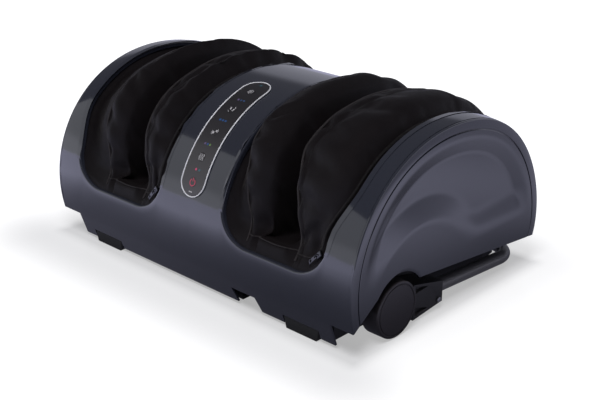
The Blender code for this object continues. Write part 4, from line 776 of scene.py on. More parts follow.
SIGNS = {
    "power": line_faces(arc(0, -0.2, 1.9, 60, -240), 0.55) + line_faces([(0, 0.3), (0, 2.4)], 0.55),
    "heat": line_faces(wave(-1.7), 0.42) + line_faces(wave(0), 0.42) + line_faces(wave(1.7), 0.42),
    "roller": disc_face(-1.3, -1.0, 1.15) + disc_face(1.4, 1.2, 1.0)
              + line_faces(arc(-1.3, -1.0, 2.0, 120, 250), 0.4) + line_faces(arc(1.4, 1.2, 1.8, -60, 70), 0.4),
    "kneading": foot_faces(-1.5, 0.5, 24) + foot_faces(1.5, -0.4, -24)
                + line_faces(arc(0, -0.3, 2.9, 200, 250), 0.35) + line_faces(arc(0, 0.3, 2.9, 20, 70), 0.35),
    "auto": line_faces(spiral(), 0.42) + line_faces([(-3.0, -1.2), (-2.1, 0.4), (-2.9, 1.6)], 0.4)}
KEY_PROFILE = [(KEY_TOP - KEY_LENGTH, 0), (KEY_TOP - KEY_LENGTH, KEY_R), (-2.1 * mm, KEY_R), (-2.1 * mm, KEY_FLANGE_R),
               (-0.9 * mm, KEY_FLANGE_R), (-0.9 * mm, KEY_R), (KEY_TOP - 0.35 * mm, KEY_R),
               (KEY_TOP - 0.1 * mm, KEY_R - 0.1 * mm), (KEY_TOP, KEY_R - 0.35 * mm),
               (KEY_TOP - 0.05 * mm, KEY_R / 2), (KEY_TOP - 0.06 * mm, 0)]
for name, share in KEY_SHARES.items():
    middle, outward = key_place(share)
    key = spun(f"key_cap_{name}", KEY_PROFILE, middle, outward, Vector((1, 0, 0)))
    shade(key, 40)
    dress(key, SMOKE, f"key_{name}", f"button_{name}")
    size = SIGN_REACH / max(math.hypot(u, v) for face in SIGNS[name] for u, v in face)
    lay_print(f"sign_{name}", SIGNS[name], middle, outward, KEY_TOP + PRINT_THICK,
              PAINTED_GLOW_RED_PRINT if name == "power" else PAINTED_GLOW_PRINT, f"key_{name}", size)
# Each row of lamps: its place along the panel, then the u of each lamp and its colour
LAMP_ROWS = ((0.195, ((-0.8, PINK_LAMP), (4.2, TEAL_LAMP))),
             (0.39, ((-3.9, VIOLET_LAMP), (0, BLUE_LAMP), (3.6, GREEN_LAMP))),
             (0.59, ((-4.1, BLUE_LAMP), (0, BLUE_LAMP), (4.1, BLUE_LAMP))),
             (0.785, ((-4.1, VIOLET_LAMP), (0, DIM_BLUE_LAMP), (4.1, DIM_BLUE_LAMP))),
             (0.965, ((0.5, TEAL_LAMP),)))
LAMP_R = 1.35
lamps = [(share, u, finish) for share, row in LAMP_ROWS for u, finish in row]
for number, (share, u, finish) in enumerate(lamps, 1):
    lay_print(f"panel_lamp_{number}", disc_face(u, 0, LAMP_R), *key_place(share), PANEL_TOP + PRINT_THICK, finish,
              "housing")
lay_print("panel_mark", line_faces([(-2.4, 0), (2.4, 0)], 1.1), *key_place(0.028), PANEL_TOP + PRINT_THICK, PAINTED_GLOW_PRINT,
          "housing")


# Fabric liners. One cover of black satin polyester is sewn for each foot and zipped into its
# well: it lies over the two kneading lobes, drops into the slot between them, runs on under the
# sole and up behind the toes, and its hem is clipped under the moulding's rim all round.
LINER_ROWS = 96
LAST_ROW = LINER_ROWS - 1
LINER_CLOTH = 1.2 * mm
HEM_UNDER = 3.8 * mm
HEM_REACH = 5 * mm
CLOTH_FRAMES = 20
MOST_SETTLING = 5 * mm
COIL_STEP, COIL_PITCH = 0.3 * mm, 1.5 * mm
COIL_HALF, COIL_RISE, COIL_WIRE_R = 1.5 * mm, 0.55 * mm, 0.28 * mm
SLOT_LEFT = {"left": -134 * mm, "right": 97 * mm}
SLOT_RIGHT = {"left": -97 * mm, "right": 134 * mm}
# Where each seam runs: pairs of the place along the side outline and the x, in millimetres
FAR_SEAM = {"left": ((0.2, -147), (0.32, -152), (0.51, -161), (0.63, -161.5), (0.73, -157), (0.86, -151), (1, -149),
                     (1.7, -150)),
            "right": ((0.2, 83), (0.3, 79), (0.4, 73), (0.5, 68), (0.63, 61), (0.72, 60.5), (0.85, 63), (1, 67),
                      (1.2, 70), (1.7, 70))}
PIPING = {"left": ((0.2, -82), (0.3, -85), (0.42, -92), (0.52, -95), (0.7, -95), (0.85, -92), (1.1, -93), (1.7, -95)),
          "right": ((0.2, 150), (0.3, 147), (0.42, 141), (0.52, 135), (0.66, 125), (0.79, 125), (0.92, 128), (1.1, 131),
                    (1.7, 133))}
BAND_WIDTH = ((0.2, 6), (0.5, 6.5), (0.66, 10), (0.8, 13), (0.95, 15), (1.2, 14), (1.7, 12))
# Creases: the two ends as (place along the outline, x), the half width, the depth, all x in millimetres
CREASES = {
    "right": (
        ((0.66, 66), (0.70, 92), 5, 3.0), ((0.74, 70), (0.83, 94), 4, 3.4), ((0.55, 72), (0.52, 96), 6, 2.0),
        ((0.78, 128), (0.74, 160), 4, 3.4), ((0.80, 140), (0.86, 149), 3, 2.4), ((0.64, 134), (0.60, 176), 6, 3.0),
        ((0.50, 140), (0.47, 172), 6, 2.4), ((0.33, 150), (0.40, 168), 4, 2.6), ((1.2, 150), (1.22, 185), 5, 2.5),
        ((0.42, 74), (0.46, 94), 6, 2.0), ((1.15, 66), (1.2, 92), 6, 2.6), ((0.9, 140), (0.93, 190), 7, 1.8)),
    "left": (
        ((0.72, -150), (0.66, -134), 4, 2.8), ((0.55, -158), (0.50, -136), 6, 2.4), ((0.80, -146), (0.86, -136), 4, 2.0),
        ((0.76, -92), (0.72, -62), 5, 2.4), ((0.56, -90), (0.52, -60), 6, 2.4), ((0.92, -86), (0.95, -56), 5, 2.4),
        ((0.38, -88), (0.42, -60), 5, 2.2), ((1.2, -90), (1.18, -56), 6, 2.2), ((0.40, -156), (0.44, -137), 6, 2.0))}
# The slot's path under the foot from the front lip to the rear one, as (y, z) in millimetres
SLOT_RUN = ((-150.5, 86), (-147, 89.5), (-141, 88), (-124, 80), (-102, 75), (-70, 72.5), (-40, 72), (0, 72), (40, 73.5),
            (70, 77), (90, 84), (100, 93), (107, 106), (119, 124), (129, 139), (134, 141.5), (138.5, 138), (143, 112))
# How many strips of faces lie between one control column and the next, and the seams' columns
STRIPS = (4, 4, 5, 4, 3, 6, 7, 3, 3, 7, 6, 3, 2, 3, 5, 5, 3, 3, 4)
COLUMN_AT = [sum(STRIPS[:k]) for k in range(len(STRIPS) + 1)]
LINER_WIDTH = COLUMN_AT[-1] + 1
SEWN_COLUMNS = {"gusset": 1, "far seam": 2, "piping": 12, "stitching": 14, "zip": 17}
SEWN = {COLUMN_AT[k] for k in SEWN_COLUMNS.values()}


def along(table, t):
    """The value at t in a table of (t, millimetres) pairs, eased from one pair to the next."""
    if t <= table[0][0]:
        return table[0][1] * mm
    for (a, low), (b, high) in zip(table, table[1:]):
        if t <= b:
            return (low + (high - low) * smooth((t - a) / (b - a))) * mm
    return table[-1][1] * mm


def lobe_offset(t):
    """How far a lobe's crown stands out of the housing's skin."""
    z = side_curve(t).y
    if t <= 1:
        return -15 * mm + 25 * mm * smooth((z - 92 * mm) / (90 * mm))
    return 6 * mm + 4 * mm * smooth((z - REAR_LIP_Z) / (CREST_Z - REAR_LIP_Z))


def hem_height(x, lip_z):
    """The height of the liner's lower edge at x: it follows the opening, outside it."""
    r = WELL_CORNER_R
    inset = min(abs(x) - WELL_IN_X, WELL_OUT_LOW_X - abs(x))
    if inset >= r:
        return lip_z - HEM_REACH
    return lip_z + r - math.sqrt(max((r + HEM_REACH) ** 2 - (r - inset) ** 2, 0))


def hem_t(x, share):
    """The place on the side outline at a share of the way from the front hem to the rear one at x."""
    start = t_at_height(hem_height(x, FRONT_LIP_Z))
    return start + (t_at_height(hem_height(x, REAR_LIP_Z), rear=True) - start) * share


def path_point(run, share):
    """A point at a share of the length of a (y, z) path."""
    lengths = [0.0]
    for a, b in zip(run, run[1:]):
        lengths.append(lengths[-1] + math.dist(a, b))
    target = lengths[-1] * share
    k = max(j for j in range(len(run) - 1) if lengths[j] <= target + 1e-12)
    part = (target - lengths[k]) / (lengths[k + 1] - lengths[k])
    return run[k][0] + (run[k + 1][0] - run[k][0]) * part, run[k][1] + (run[k + 1][1] - run[k][1]) * part


def liner_row(side, i):
    """The control points of one row across the well, from the left rim to the right one."""
    share = i / LAST_ROW
    ease = smooth(min(i, LAST_ROW - i) / 9)
    left_near = side == "right"
    way = 1 if left_near else -1
    slot_left, slot_right = SLOT_LEFT[side], SLOT_RIGHT[side]

    def over(x_at, offset, crowned=True):
        """A point at x_at(t) that stands out of the skin, and settles to the hem at both ends."""
        t = hem_t(x_at(0.3), share)
        if crowned:
            offset += lobe_offset(t)
        return skin_point(x_at(t), t, -HEM_UNDER + (offset + HEM_UNDER) * ease)

    def rim(t, near):
        """The x of the well's edge at t: the one near the middle of the housing, or the outer one."""
        return way * (WELL_IN_X if near else outer_rim_x(side_curve(t).y, FRONT_LIP_Z if t <= 1 else REAR_LIP_Z))

    def hem(near):
        reach = -HEM_REACH if near else HEM_REACH
        t = hem_t((WELL_IN_X if near else WELL_OUT_LOW_X) + reach, share)
        return skin_point(rim(t, near) + way * reach, t, -HEM_UNDER)

    def valley(near, inset, sink):
        return over(lambda t: rim(t, near) + way * (inset if near else -inset), -sink, False)

    def seam(t):
        return along(FAR_SEAM[side], t)

    def piped(t, beyond=0.0):
        """The x of the piping, or of a share of the band beyond it."""
        return along(PIPING[side], t) + along(BAND_WIDTH, t) * beyond

    start, end = (skin_point(slot_left, hem_t(slot_left, end), -HEM_UNDER) for end in (0, 1))
    run = [(start.y, start.z)] + [(y * mm, z * mm) for y, z in SLOT_RUN] + [(end.y, end.z)]
    y, z = path_point(run, share)
    floor_left = Vector((slot_left + 1 * mm, y, z + 2 * mm * ease))
    floor_mid = Vector(((slot_left + slot_right) / 2, y, z))
    floor_right = Vector((slot_right - 1 * mm, y, z + 2 * mm * ease))
    brow = over(lambda t: slot_left - 0.5 * mm, -12 * mm)
    cheek = over(lambda t: piped(t) - 2.5 * mm, -13 * mm)
    bulge = Vector((3 * mm, 0, 0)) * ease
    return [hem(left_near), valley(left_near, 6 * mm, 12.5 * mm), over(seam, -1.2 * mm),
            over(lambda t: seam(t) * 0.55 + (slot_left - 3 * mm) * 0.45, 1.5 * mm),
            over(lambda t: slot_left - 6 * mm, -4 * mm), brow, brow.lerp(floor_left, 0.55) + bulge,
            floor_left, floor_mid, floor_right, cheek.lerp(floor_right, 0.55) - bulge, cheek,
            over(piped, -4 * mm), over(lambda t: piped(t, 0.5), -1 * mm), over(lambda t: piped(t, 1), -1.6 * mm),
            over(lambda t: piped(t, 1) * 0.6 + (rim(t, not left_near) - 14 * mm) * 0.4, 1.5 * mm),
            over(lambda t: rim(t, not left_near) - 21 * mm, -2.5 * mm),
            valley(not left_near, 10.5 * mm, 6.5 * mm), valley(not left_near, 4 * mm, 17 * mm), hem(not left_near)]


def smooth_row(points):
    """A Catmull-Rom line through a row's control points."""
    made = []
    for k, strips in enumerate(STRIPS):
        a, b = points[k], points[k + 1]
        before, after = points[max(k - 1, 0)], points[min(k + 2, len(points) - 1)]
        span = (b - a).length
        start = (b - before) * (span / max((a - before).length + span, 1e-6))
        finish = (after - a) * (span / max((after - b).length + span, 1e-6))
        for j in range(strips):
            s = j / strips
            made.append(a * (2 * s**3 - 3 * s * s + 1) + start * (s**3 - 2 * s * s + s)
                        + b * (3 * s * s - 2 * s**3) + finish * (s**3 - s * s))
    return made + [points[-1]]


def crease_depth(side, x, t):
    """How far the cloth is pulled in at (x, t) by the creases that run from its seams."""
    depth = 0.0
    for (t0, x0), (t1, x1), half, deep in CREASES[side]:
        dx, dt, px, pt = x1 - x0, (t1 - t0) * 200, x / mm - x0, (t - t0) * 200
        share = min(max((px * dx + pt * dt) / (dx * dx + dt * dt), 0), 1)
        away = math.hypot(px - dx * share, pt - dt * share) / half
        depth += deep * (1 - 0.75 * share) * (math.exp(-away * away) - 0.55 * math.exp(-((away - 1.9) ** 2)))
    return depth * mm


def run_lengths(line):
    found = [0.0]
    for a, b in zip(line, line[1:]):
        found.append(found[-1] + (b - a).length)
    return found


def settle(liner):
    """Lets the cloth slacken and fill out between its seams, by a few millimetres."""
    mesh = liner.data
    floor = range(COLUMN_AT[7], COLUMN_AT[9] + 1)
    held = [index for index in range(len(mesh.vertices)) if index % LINER_WIDTH in SEWN or index % LINER_WIDTH in floor
            or index % LINER_WIDTH in (0, 1, LINER_WIDTH - 2, LINER_WIDTH - 1)
            or not 2 < index // LINER_WIDTH < LINER_ROWS - 3]
    liner.vertex_groups.new(name="sewn").add(held, 1.0, "REPLACE")
    before = [v.co.copy() for v in mesh.vertices]
    cloth = liner.modifiers.new("cloth", "CLOTH")
    for key, value in {"vertex_group_mass": "sewn", "quality": 5, "mass": 0.2, "tension_stiffness": 12,
                       "compression_stiffness": 12, "shear_stiffness": 4, "bending_stiffness": 2.5,
                       "shrink_min": -0.012, "use_pressure": True, "uniform_pressure_force": 0.9}.items():
        setattr(cloth.settings, key, value)
    cloth.settings.effector_weights.gravity = 0
    cloth.collision_settings.use_collision = False
    cloth.point_cache.frame_start = 1
    cloth.point_cache.frame_end = CLOTH_FRAMES
    for number in range(1, CLOTH_FRAMES + 1):
        bpy.context.scene.frame_set(number)
    only(liner)
    bpy.ops.object.modifier_apply(modifier="cloth")
    bpy.context.scene.frame_set(1)
    liner.vertex_groups.clear()
    for v, was in zip(mesh.vertices, before):
        move = v.co - was
        if move.length > MOST_SETTLING:
            v.co = was + move * (MOST_SETTLING / move.length)


def make_liner(side):
    """The liner's cloth as a grid of rows from the front lip to the rear one, sewn down at its seams."""
    rows = [smooth_row(liner_row(side, i)) for i in range(LINER_ROWS)]
    faces = [(k, k + 1, k + LINER_WIDTH + 1, k + LINER_WIDTH)
             for i in range(LAST_ROW) for k in range(i * LINER_WIDTH, (i + 1) * LINER_WIDTH - 1)]
    liner = mesh_object(f"foot_liner_{side}", [p for row in rows for p in row], faces)
    mesh = liner.data
    u_at, v_at = run_lengths(rows[LINER_ROWS // 2]), run_lengths([row[COLUMN_AT[3]] for row in rows])
    layer = mesh.uv_layers.new(name="cloth")
    for loop in mesh.loops:
        i, j = divmod(loop.vertex_index, LINER_WIDTH)
        layer.data[loop.index].uv = (u_at[j], v_at[i])
    mesh.update()
    normals = [v.normal.copy() for v in mesh.vertices]
    for index, v in enumerate(mesh.vertices):
        i, j = divmod(index, LINER_WIDTH)
        if j not in SEWN and 2 < i < LINER_ROWS - 3:
            v.co -= normals[index] * crease_depth(side, v.co.x, 0.2 + (i / LAST_ROW) * 1.42)
    settle(liner)
    mesh.update()
    return liner


def cloth_group():
    """Satin weave on the cloth's own UV map, with a faint cloudy change of tone."""
    group, given, result = shader_group("satin_weave", {
        "Tone": (0.01, 0.01, 0.01, 1), "Thread Scale": 700.0, "Weave Height": 0.4, "Roughness": 0.5})
    place = wired(group, "TexCoord")
    threads = [wired(group, "TexWave", wave_type="BANDS", bands_direction=direction, Vector=place["UV"],
                     Scale=given["Thread Scale"], Distortion=0.4, Detail=1)["Fac"] for direction in ("X", "Y")]
    cloud = wired(group, "TexNoise", Vector=place["Object"], Scale=60, Detail=6)["Fac"]
    spread = wired(group, "MapRange", Value=cloud, To_Min=0.75, To_Max=1.3)[0]
    ripple = wired(group, "TexNoise", Vector=place["Object"], Scale=110, Detail=2)["Fac"]
    soft = wired(group, "Bump", Distance=0.5 * mm, Strength=0.5, Height=ripple)["Normal"]
    feed(result, Colour=wired(group, "VectorMath", operation="SCALE", Vector=given["Tone"], Scale=spread)[0],
         Roughness=calc(group, "MULTIPLY_ADD", cloud, 0.12, given["Roughness"]),
         Normal=wired(group, "Bump", Distance=0.12 * mm, Strength=given["Weave Height"],
                      Height=calc(group, "MAXIMUM", *threads), Normal=soft)["Normal"])
    return group


SATIN = cloth_group()


def woven(name, tone, roughness, sheen, **settings):
    """Cloth or thread on the shared weave."""
    return grouped_material(name, SATIN, tone, roughness, settings, Sheen_Weight=sheen, Sheen_Roughness=0.3,
                            Sheen_Tint=(0.75, 0.68, 0.64, 1), Specular_IOR_Level=0.22)


LINER_CLOTH_FINISH = woven("black_satin", (0.0072, 0.0058, 0.0064), 0.50, 0.05)
# The piping is toned paler than the cloth: partly its own tone, partly a painted highlight along the seam cords
PAINTED_HIGHLIGHT_PIPING = woven("black_piping", (0.026, 0.023, 0.024), 0.45, 0.06, thread_scale=1100)
THREAD_FINISH = woven("black_thread", (0.014, 0.0125, 0.0125), 0.5, 0.1, thread_scale=1500)
ZIP_TAPE = moulded("zip_coil", (0.026, 0.024, 0.025), 0.34, variation=0.1, smear=0.15, grain_scale=1500,
                   grain_height=0.2, dust=0.03)
GUNMETAL = moulded("gunmetal", (0.11, 0.11, 0.12), 0.26, metallic=1.0, variation=0.15, smear=0.25, grain_scale=1400,
                   grain_height=0.15, dust=0.02)


def run_points(line, pitch):
    """Points at an even pitch along a line, each with the direction of the line there."""
    found, left = [], 0.0
    for a, b in zip(line, line[1:]):
        length = (b - a).length
        while left <= length:
            found.append((a + (b - a) * (left / length), (b - a) / length))
            left += pitch
        left -= length
    return found


def stitches(name, line, pitch, length, radius):
    """A row of short threads sunk at their ends, as one mesh."""
    bpy.ops.object.select_all(action="DESELECT")
    bpy.ops.mesh.primitive_cylinder_add(vertices=6, radius=radius, depth=length)
    one = bpy.context.object
    edited(one, lambda: bpy.ops.mesh.bevel(offset=radius * 0.6, segments=1, affect="EDGES"))
    points = [v.co.copy() for v in one.data.vertices]
    shapes = [tuple(f.vertices) for f in one.data.polygons]
    bpy.data.objects.remove(one)
    all_points, all_faces = [], []
    for middle, way in run_points(line, pitch):
        turn, base = way.to_track_quat("Z", "X"), len(all_points)
        all_points += [middle + turn @ p for p in points]
        all_faces += [tuple(base + k for k in face) for face in shapes]
    made = mesh_object(name, all_points, all_faces)
    only(made)
    bpy.ops.object.shade_smooth()
    return made


def zip_coil(name, line, normals):
    """The zipper's nylon coil: one thin wire wound along the closed edge."""
    wire, spots = [], run_points(line, COIL_STEP)
    for k, (middle, way) in enumerate(spots):
        normal = normals[min(int(k / len(spots) * len(normals)), len(normals) - 1)]
        across = way.cross(normal).normalized()
        turn = k * COIL_STEP / COIL_PITCH * 2 * math.pi
        wire.append(middle + across * (COIL_HALF * math.cos(turn)) + across.cross(way) * (COIL_RISE * math.sin(turn)))
    return round_cord(name, wire, COIL_WIRE_R, 6)


def zip_pull(name, top, way, normal):
    """The slider and its pull: a rounded body on the coil and a flat tab with a hole, lying on the cloth."""
    across = normal.cross(way).normalized()
    up = way.cross(across).normalized()
    body = box((-3.25 * mm, -4.25 * mm, -1.5 * mm), (3.25 * mm, 4.25 * mm, 1.5 * mm))
    body.name = body.data.name = name
    edited(body, lambda: bpy.ops.mesh.bevel(offset=1.1 * mm, segments=3, affect="EDGES"))
    bpy.ops.mesh.primitive_torus_add(location=(0, -1.5 * mm, 2 * mm), rotation=(0, math.radians(90), 0),
                                     major_radius=1.8 * mm, minor_radius=0.5 * mm, major_segments=20, minor_segments=8)
    loop = bpy.context.object
    tab_z, punch_depth = 1.6 * mm, 6 * mm
    tab = box((-2.3 * mm, -16 * mm, tab_z - 0.45 * mm), (2.3 * mm, -3 * mm, tab_z + 0.45 * mm))
    edited(tab, lambda: bpy.ops.mesh.bevel(offset=0.4 * mm, segments=3, affect="EDGES"))
    for y, radius in ((-5.2 * mm, 1.1 * mm), (-12.5 * mm, 1.5 * mm)):
        bpy.ops.object.select_all(action="DESELECT")
        bpy.ops.mesh.primitive_cylinder_add(vertices=20, radius=radius, depth=punch_depth, location=(0, y, tab_z))
        cut(tab, bpy.context.object)
    only(body)
    loop.select_set(True)
    tab.select_set(True)
    bpy.ops.object.join()
    for v in body.data.vertices:
        v.co = top + across * v.co.x - way * v.co.y + up * v.co.z
    edited(body, lambda: bpy.ops.mesh.normals_make_consistent(inside=False))
    shade(body, 35)
    return body


for side, _ in SIDES:
    liner = make_liner(side)
    verts = liner.data.vertices

    def cloth_point(i, j, lift=0.0):
        v = verts[i * LINER_WIDTH + j]
        return v.co + v.normal * lift

    def seam_line(seam, first, last, lift):
        return [cloth_point(i, COLUMN_AT[SEWN_COLUMNS[seam]], lift) for i in range(first, last)]

    first, last, zip_last = 3, LINER_ROWS - 4, int(LINER_ROWS * 0.8)
    edge_line = seam_line("piping", first, last, 0.5 * mm)
    far_line = seam_line("far seam", first, last, 0.3 * mm)
    sewn_line = seam_line("stitching", first, last, 0.25 * mm)
    zip_line = seam_line("zip", 5, zip_last, 0.7 * mm)
    zip_normals = [verts[i * LINER_WIDTH + COLUMN_AT[17]].normal.copy() for i in range(5, zip_last)]
    lip_line = [cloth_point(5, j, 0.3 * mm) for j in range(COLUMN_AT[2], COLUMN_AT[16] + 1)]
    pull_top, pull_foot = verts[5 * LINER_WIDTH + COLUMN_AT[17]], verts[3 * LINER_WIDTH + COLUMN_AT[15] + 3]
    pull_way = (pull_foot.co - pull_top.co).normalized()
    pull_normal = (pull_foot.normal + pull_top.normal).normalized()
    pull_place = pull_top.co + pull_normal * 1.6 * mm
    modify(liner, "SUBSURF", levels=1, render_levels=1)
    modify(liner, "SOLIDIFY", thickness=LINER_CLOTH, offset=-1)
    shade(liner, 180)
    dress(liner, LINER_CLOTH_FINISH, "housing", f"fabric_cover_{side}")
    trims = [(round_cord(f"liner_piping_{side}", edge_line, 1.3 * mm), PAINTED_HIGHLIGHT_PIPING),
             (round_cord(f"liner_far_seam_{side}", far_line, 0.9 * mm), PAINTED_HIGHLIGHT_PIPING),
             (round_cord(f"liner_lip_seam_{side}", lip_line, 0.7 * mm), PAINTED_HIGHLIGHT_PIPING),
             (stitches(f"liner_stitching_{side}", sewn_line, 3 * mm, 2.1 * mm, 0.28 * mm), THREAD_FINISH),
             (zip_coil(f"zip_coil_{side}", zip_line, zip_normals), ZIP_TAPE),
             (zip_pull(f"zip_pull_{side}", pull_place, pull_way, pull_normal), GUNMETAL)]
    for piece, finish in trims:
        dress(piece, finish, "housing")


# Rubber feet. Four soft black blocks stand in recesses under the front edge and under the pan's
# raised rear. Each is moulded with slanted ends and eased edges, and glued to the pan.
FOOT_WIDTH = 42 * mm
FOOT_DEPTH = 24 * mm
FOOT_SLANT = 3.5 * mm
FOOT_ROUND = 1.2 * mm
FOOT_EDGE = 0.5 * mm
# The front face's y and the height of the front and the rear feet
FOOT_PLACES = {"front": (-148.5 * mm, 14 * mm), "rear": (84 * mm, 4.7 * mm)}
RUBBER = moulded("foot_rubber", (0.018, 0.018, 0.019), 0.62, variation=0.15, smear=0.15, grain_scale=700,
                 grain_height=0.35, dust=0.12)


def rubber_foot(name, x, front_y, height):
    foot = box((x - FOOT_WIDTH / 2, front_y, 0), (x + FOOT_WIDTH / 2, front_y + FOOT_DEPTH, height))
    foot.name = foot.data.name = name
    for v in foot.data.vertices:
        if v.co.z > height / 2:
            v.co.x = x + (v.co.x - x) * (1 + 2 * FOOT_SLANT / FOOT_WIDTH)
    bpy.ops.object.mode_set(mode="EDIT")
    bpy.ops.mesh.select_all(action="DESELECT")
    work = bmesh.from_edit_mesh(foot.data)
    min(work.faces, key=lambda f: f.calc_center_median().z).select_set(True)
    min(work.faces, key=lambda f: f.calc_center_median().y).select_set(True)
    bmesh.update_edit_mesh(foot.data)
    bpy.ops.mesh.bevel(offset=FOOT_ROUND, segments=3, affect="EDGES")
    bpy.ops.object.mode_set(mode="OBJECT")
    modify(foot, "BEVEL", width=FOOT_EDGE, segments=3, limit_method="ANGLE")
    shade(foot, 50)
    return foot


for side, way in SIDES:
    for end, (front_y, height) in FOOT_PLACES.items():
        foot = rubber_foot(f"rubber_foot_{end}_{side}", way * FOOT_X, front_y, height)
        dress(foot, RUBBER, "housing", f"foot_{end}_{side}")


# Base pan. A black moulded tray closes the housing from below and is held by four screws. It shows
# in the finger notch at the front and behind the wheels.
PAN_BLACK = moulded("pan_black", (0.014, 0.014, 0.016), 0.42, variation=0.12, smear=0.15, grain_scale=1100,
                    grain_height=0.35, dust=0.08)
STEEL = moulded("bright_steel", (0.55, 0.55, 0.56), 0.26, metallic=1.0, variation=0.06, smear=0.2, grain_scale=1600,
                grain_height=0.15, dust=0.03)


def eased_copy(name, node, width, finish, body, segments=2):
    """A dressed copy of a CAD node with its flat faces joined up and its edges rounded."""
    made = add_object(name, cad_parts[node].data.copy())
    made.data.name = name
    made.data.materials.clear()
    edited(made, lambda: bpy.ops.mesh.remove_doubles(threshold=2e-6),
           lambda: bpy.ops.mesh.dissolve_limited(angle_limit=math.radians(2)))
    if width:
        modify(made, "BEVEL", width=width, segments=segments, limit_method="ANGLE", angle_limit=math.radians(30),
               use_clamp_overlap=True)
    shade(made, 40)
    dress(made, finish, body, node)


eased_copy("bottom_pan", "base_pan", 0, PAN_BLACK, "housing")
for number in range(1, 5):
    eased_copy(f"pan_screw_{number}", f"base_screw_{number}", 0.3 * mm, STEEL, "housing")


# Wheels. A solid black wheel under each end of the housing: a raised tyre ring, a fine groove and a
# faintly domed face. It turns on a steel axle that is also the stand bar's pivot.
WHEEL_OUT_X = 228.5 * mm
WHEEL_WIDTH = 22.5 * mm
WHEEL_R = 30.7 * mm
WHEEL_EDGE = 2 * mm
WHEEL_RING = 3.2 * mm
WHEEL_GROOVE = 0.8 * mm
WHEEL_BORE = 5.4 * mm
WHEEL_BORE_END = 3 * mm
WHEEL_DOME = 1 * mm
WHEEL_SOFT = 0.2 * mm
WHEEL_BLACK = moulded("wheel_black", (0.015, 0.012, 0.014), 0.36, coat=0.1, variation=0.10, smear=0.18, grain_scale=900,
                      grain_height=0.15, dust=0.06)


def wheel_profile():
    """(x, radius) from the bore's end over the back, the tread and the face to the middle."""
    out, back, ring = WHEEL_OUT_X, WHEEL_OUT_X - WHEEL_WIDTH, WHEEL_R - WHEEL_RING
    turns = [math.pi / 2 * k / 6 for k in range(7)]
    inner = ring - WHEEL_GROOVE
    profile = [(out - WHEEL_BORE_END, 0), (out - WHEEL_BORE_END, WHEEL_BORE), (back, WHEEL_BORE),
               (back, WHEEL_R - WHEEL_EDGE)]
    profile += [(back + WHEEL_EDGE * (1 - math.cos(a)), WHEEL_R - WHEEL_EDGE * (1 - math.sin(a))) for a in turns[1:]]
    profile += [(out - WHEEL_EDGE * (1 - math.sin(a)), WHEEL_R - WHEEL_EDGE * (1 - math.cos(a))) for a in turns]
    profile += [(out, ring + WHEEL_SOFT), (out - WHEEL_SOFT, ring), (out - WHEEL_GROOVE, ring),
                (out - WHEEL_GROOVE, inner), (out - WHEEL_SOFT, inner), (out, inner - WHEEL_SOFT)]
    return profile + [(out + WHEEL_DOME * (1 - (k / 8) ** 2), inner * k / 8) for k in range(7, -1, -1)]


for side, way in SIDES:
    wheel = spun(f"road_wheel_{side}", wheel_profile(), Vector((0, PIVOT.x, PIVOT.y)), Vector((way, 0, 0)),
                 Vector((0, 0, 1)), 96)
    shade(wheel, 30)
    dress(wheel, WHEEL_BLACK, f"{side}_wheel", f"wheel_{side}")
    eased_copy(f"axle_{side}", f"wheel_axle_{side}", 0.4 * mm, STEEL, "housing")


# Stand bar. A painted steel tube bent round the back of the housing, its ends clamped in two black
# moulded arms that swing on the wheels' axles. A pinch screw closes each arm's split end.
TUBE_R = 7.5 * mm
TUBE_X = 214.5 * mm
TUBE_START_Y = -44 * mm
TUBE_REAR_Y = 144 * mm
TUBE_BEND_R = 32 * mm
TUBE_START_Z = 26 * mm
TUBE_SLOPE_SHARE = 0.072
BAR_PAINT = moulded("bar_paint", (0.10, 0.098, 0.105), 0.38, coat=0.35, variation=0.06, smear=0.12, grain_scale=1500,
                    grain_height=0.10, dust=0.03)
ARM_BLACK = moulded("arm_black", (0.020, 0.019, 0.021), 0.40, variation=0.08, smear=0.15, grain_scale=1200,
                    grain_height=0.3, dust=0.05)

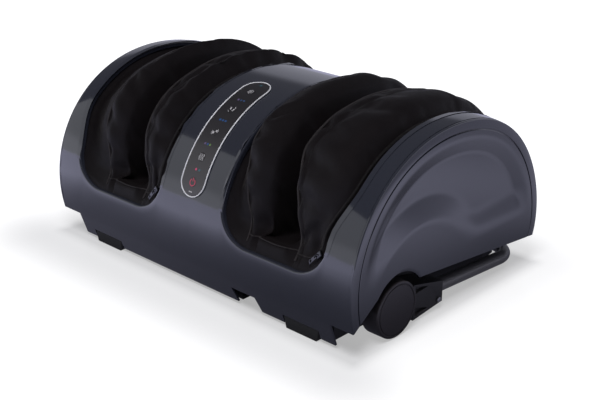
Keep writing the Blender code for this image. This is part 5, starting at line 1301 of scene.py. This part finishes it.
corner_y, corner_x = TUBE_REAR_Y - TUBE_BEND_R, TUBE_X - TUBE_BEND_R
tube_line = [(TUBE_X, TUBE_START_Y + (corner_y - TUBE_START_Y) * k / 24) for k in range(25)]
for a in (math.pi / 2 * k / 24 for k in range(1, 25)):
    tube_line.append((corner_x + TUBE_BEND_R * math.cos(a), corner_y + TUBE_BEND_R * math.sin(a)))
tube_line += [(corner_x * (1 - k / 12), TUBE_REAR_Y) for k in range(1, 12)]
tube_line += [(-x, y) for x, y in tube_line[::-1]]
bar = round_cord("stand_tube", [(x, y, TUBE_START_Z - TUBE_SLOPE_SHARE * (y - TUBE_START_Y)) for x, y in tube_line],
                 TUBE_R, 40)
dress(bar, BAR_PAINT, "stand_bar", "handle_bar")
for side, _ in SIDES:
    eased_copy(f"stand_arm_{side}", f"handle_arm_{side}", 0.7 * mm, ARM_BLACK, "stand_bar", 3)
    eased_copy(f"pinch_screw_{side}", f"arm_screw_{side}", 0.3 * mm, STEEL, "stand_bar")


# Power inlet. A two-pin appliance socket is set into the rear wall, in its own black moulding. It is
# the CAD's shape with its edges eased.
eased_copy("mains_inlet", "power_inlet", 0.5 * mm, PAN_BLACK, "housing")


# Drives under the liners. Two motors with worm gearboxes turn the kneading shaft with its wobble
# hubs and plates, and the shaft of the rib rollers under the soles. These stay as the CAD has them,
# with the finish of their own metal or plastic.
BRASS = moulded("gear_brass", (0.62, 0.45, 0.16), 0.28, metallic=1.0, variation=0.12, smear=0.25, grain_scale=1300,
                grain_height=0.2, dust=0.05)
NYLON = moulded("white_nylon", (0.70, 0.69, 0.65), 0.38, variation=0.05, smear=0.12, grain_scale=1000,
                grain_height=0.2, dust=0.08)
BOARD = moulded("board_green", (0.025, 0.13, 0.055), 0.35, coat=0.3, variation=0.18, smear=0.2, grain_scale=600,
                grain_height=0.3, dust=0.05)
FINISHES = {"housing_gloss": SLATE, "black_plastic": PAN_BLACK, "arm_black": ARM_BLACK, "wheel_black": WHEEL_BLACK,
            "rubber": RUBBER, "fabric": LINER_CLOTH_FINISH, "steel": STEEL, "brass": BRASS, "nylon": NYLON,
            "silver_trim": POLISHED, "panel_smoke": SMOKE, "board_green": BOARD, "bar_paint": BAR_PAINT}
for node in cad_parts.values():
    for place in node.material_slots:
        place.material = FINISHES[place.material.name.split(".")[0]]
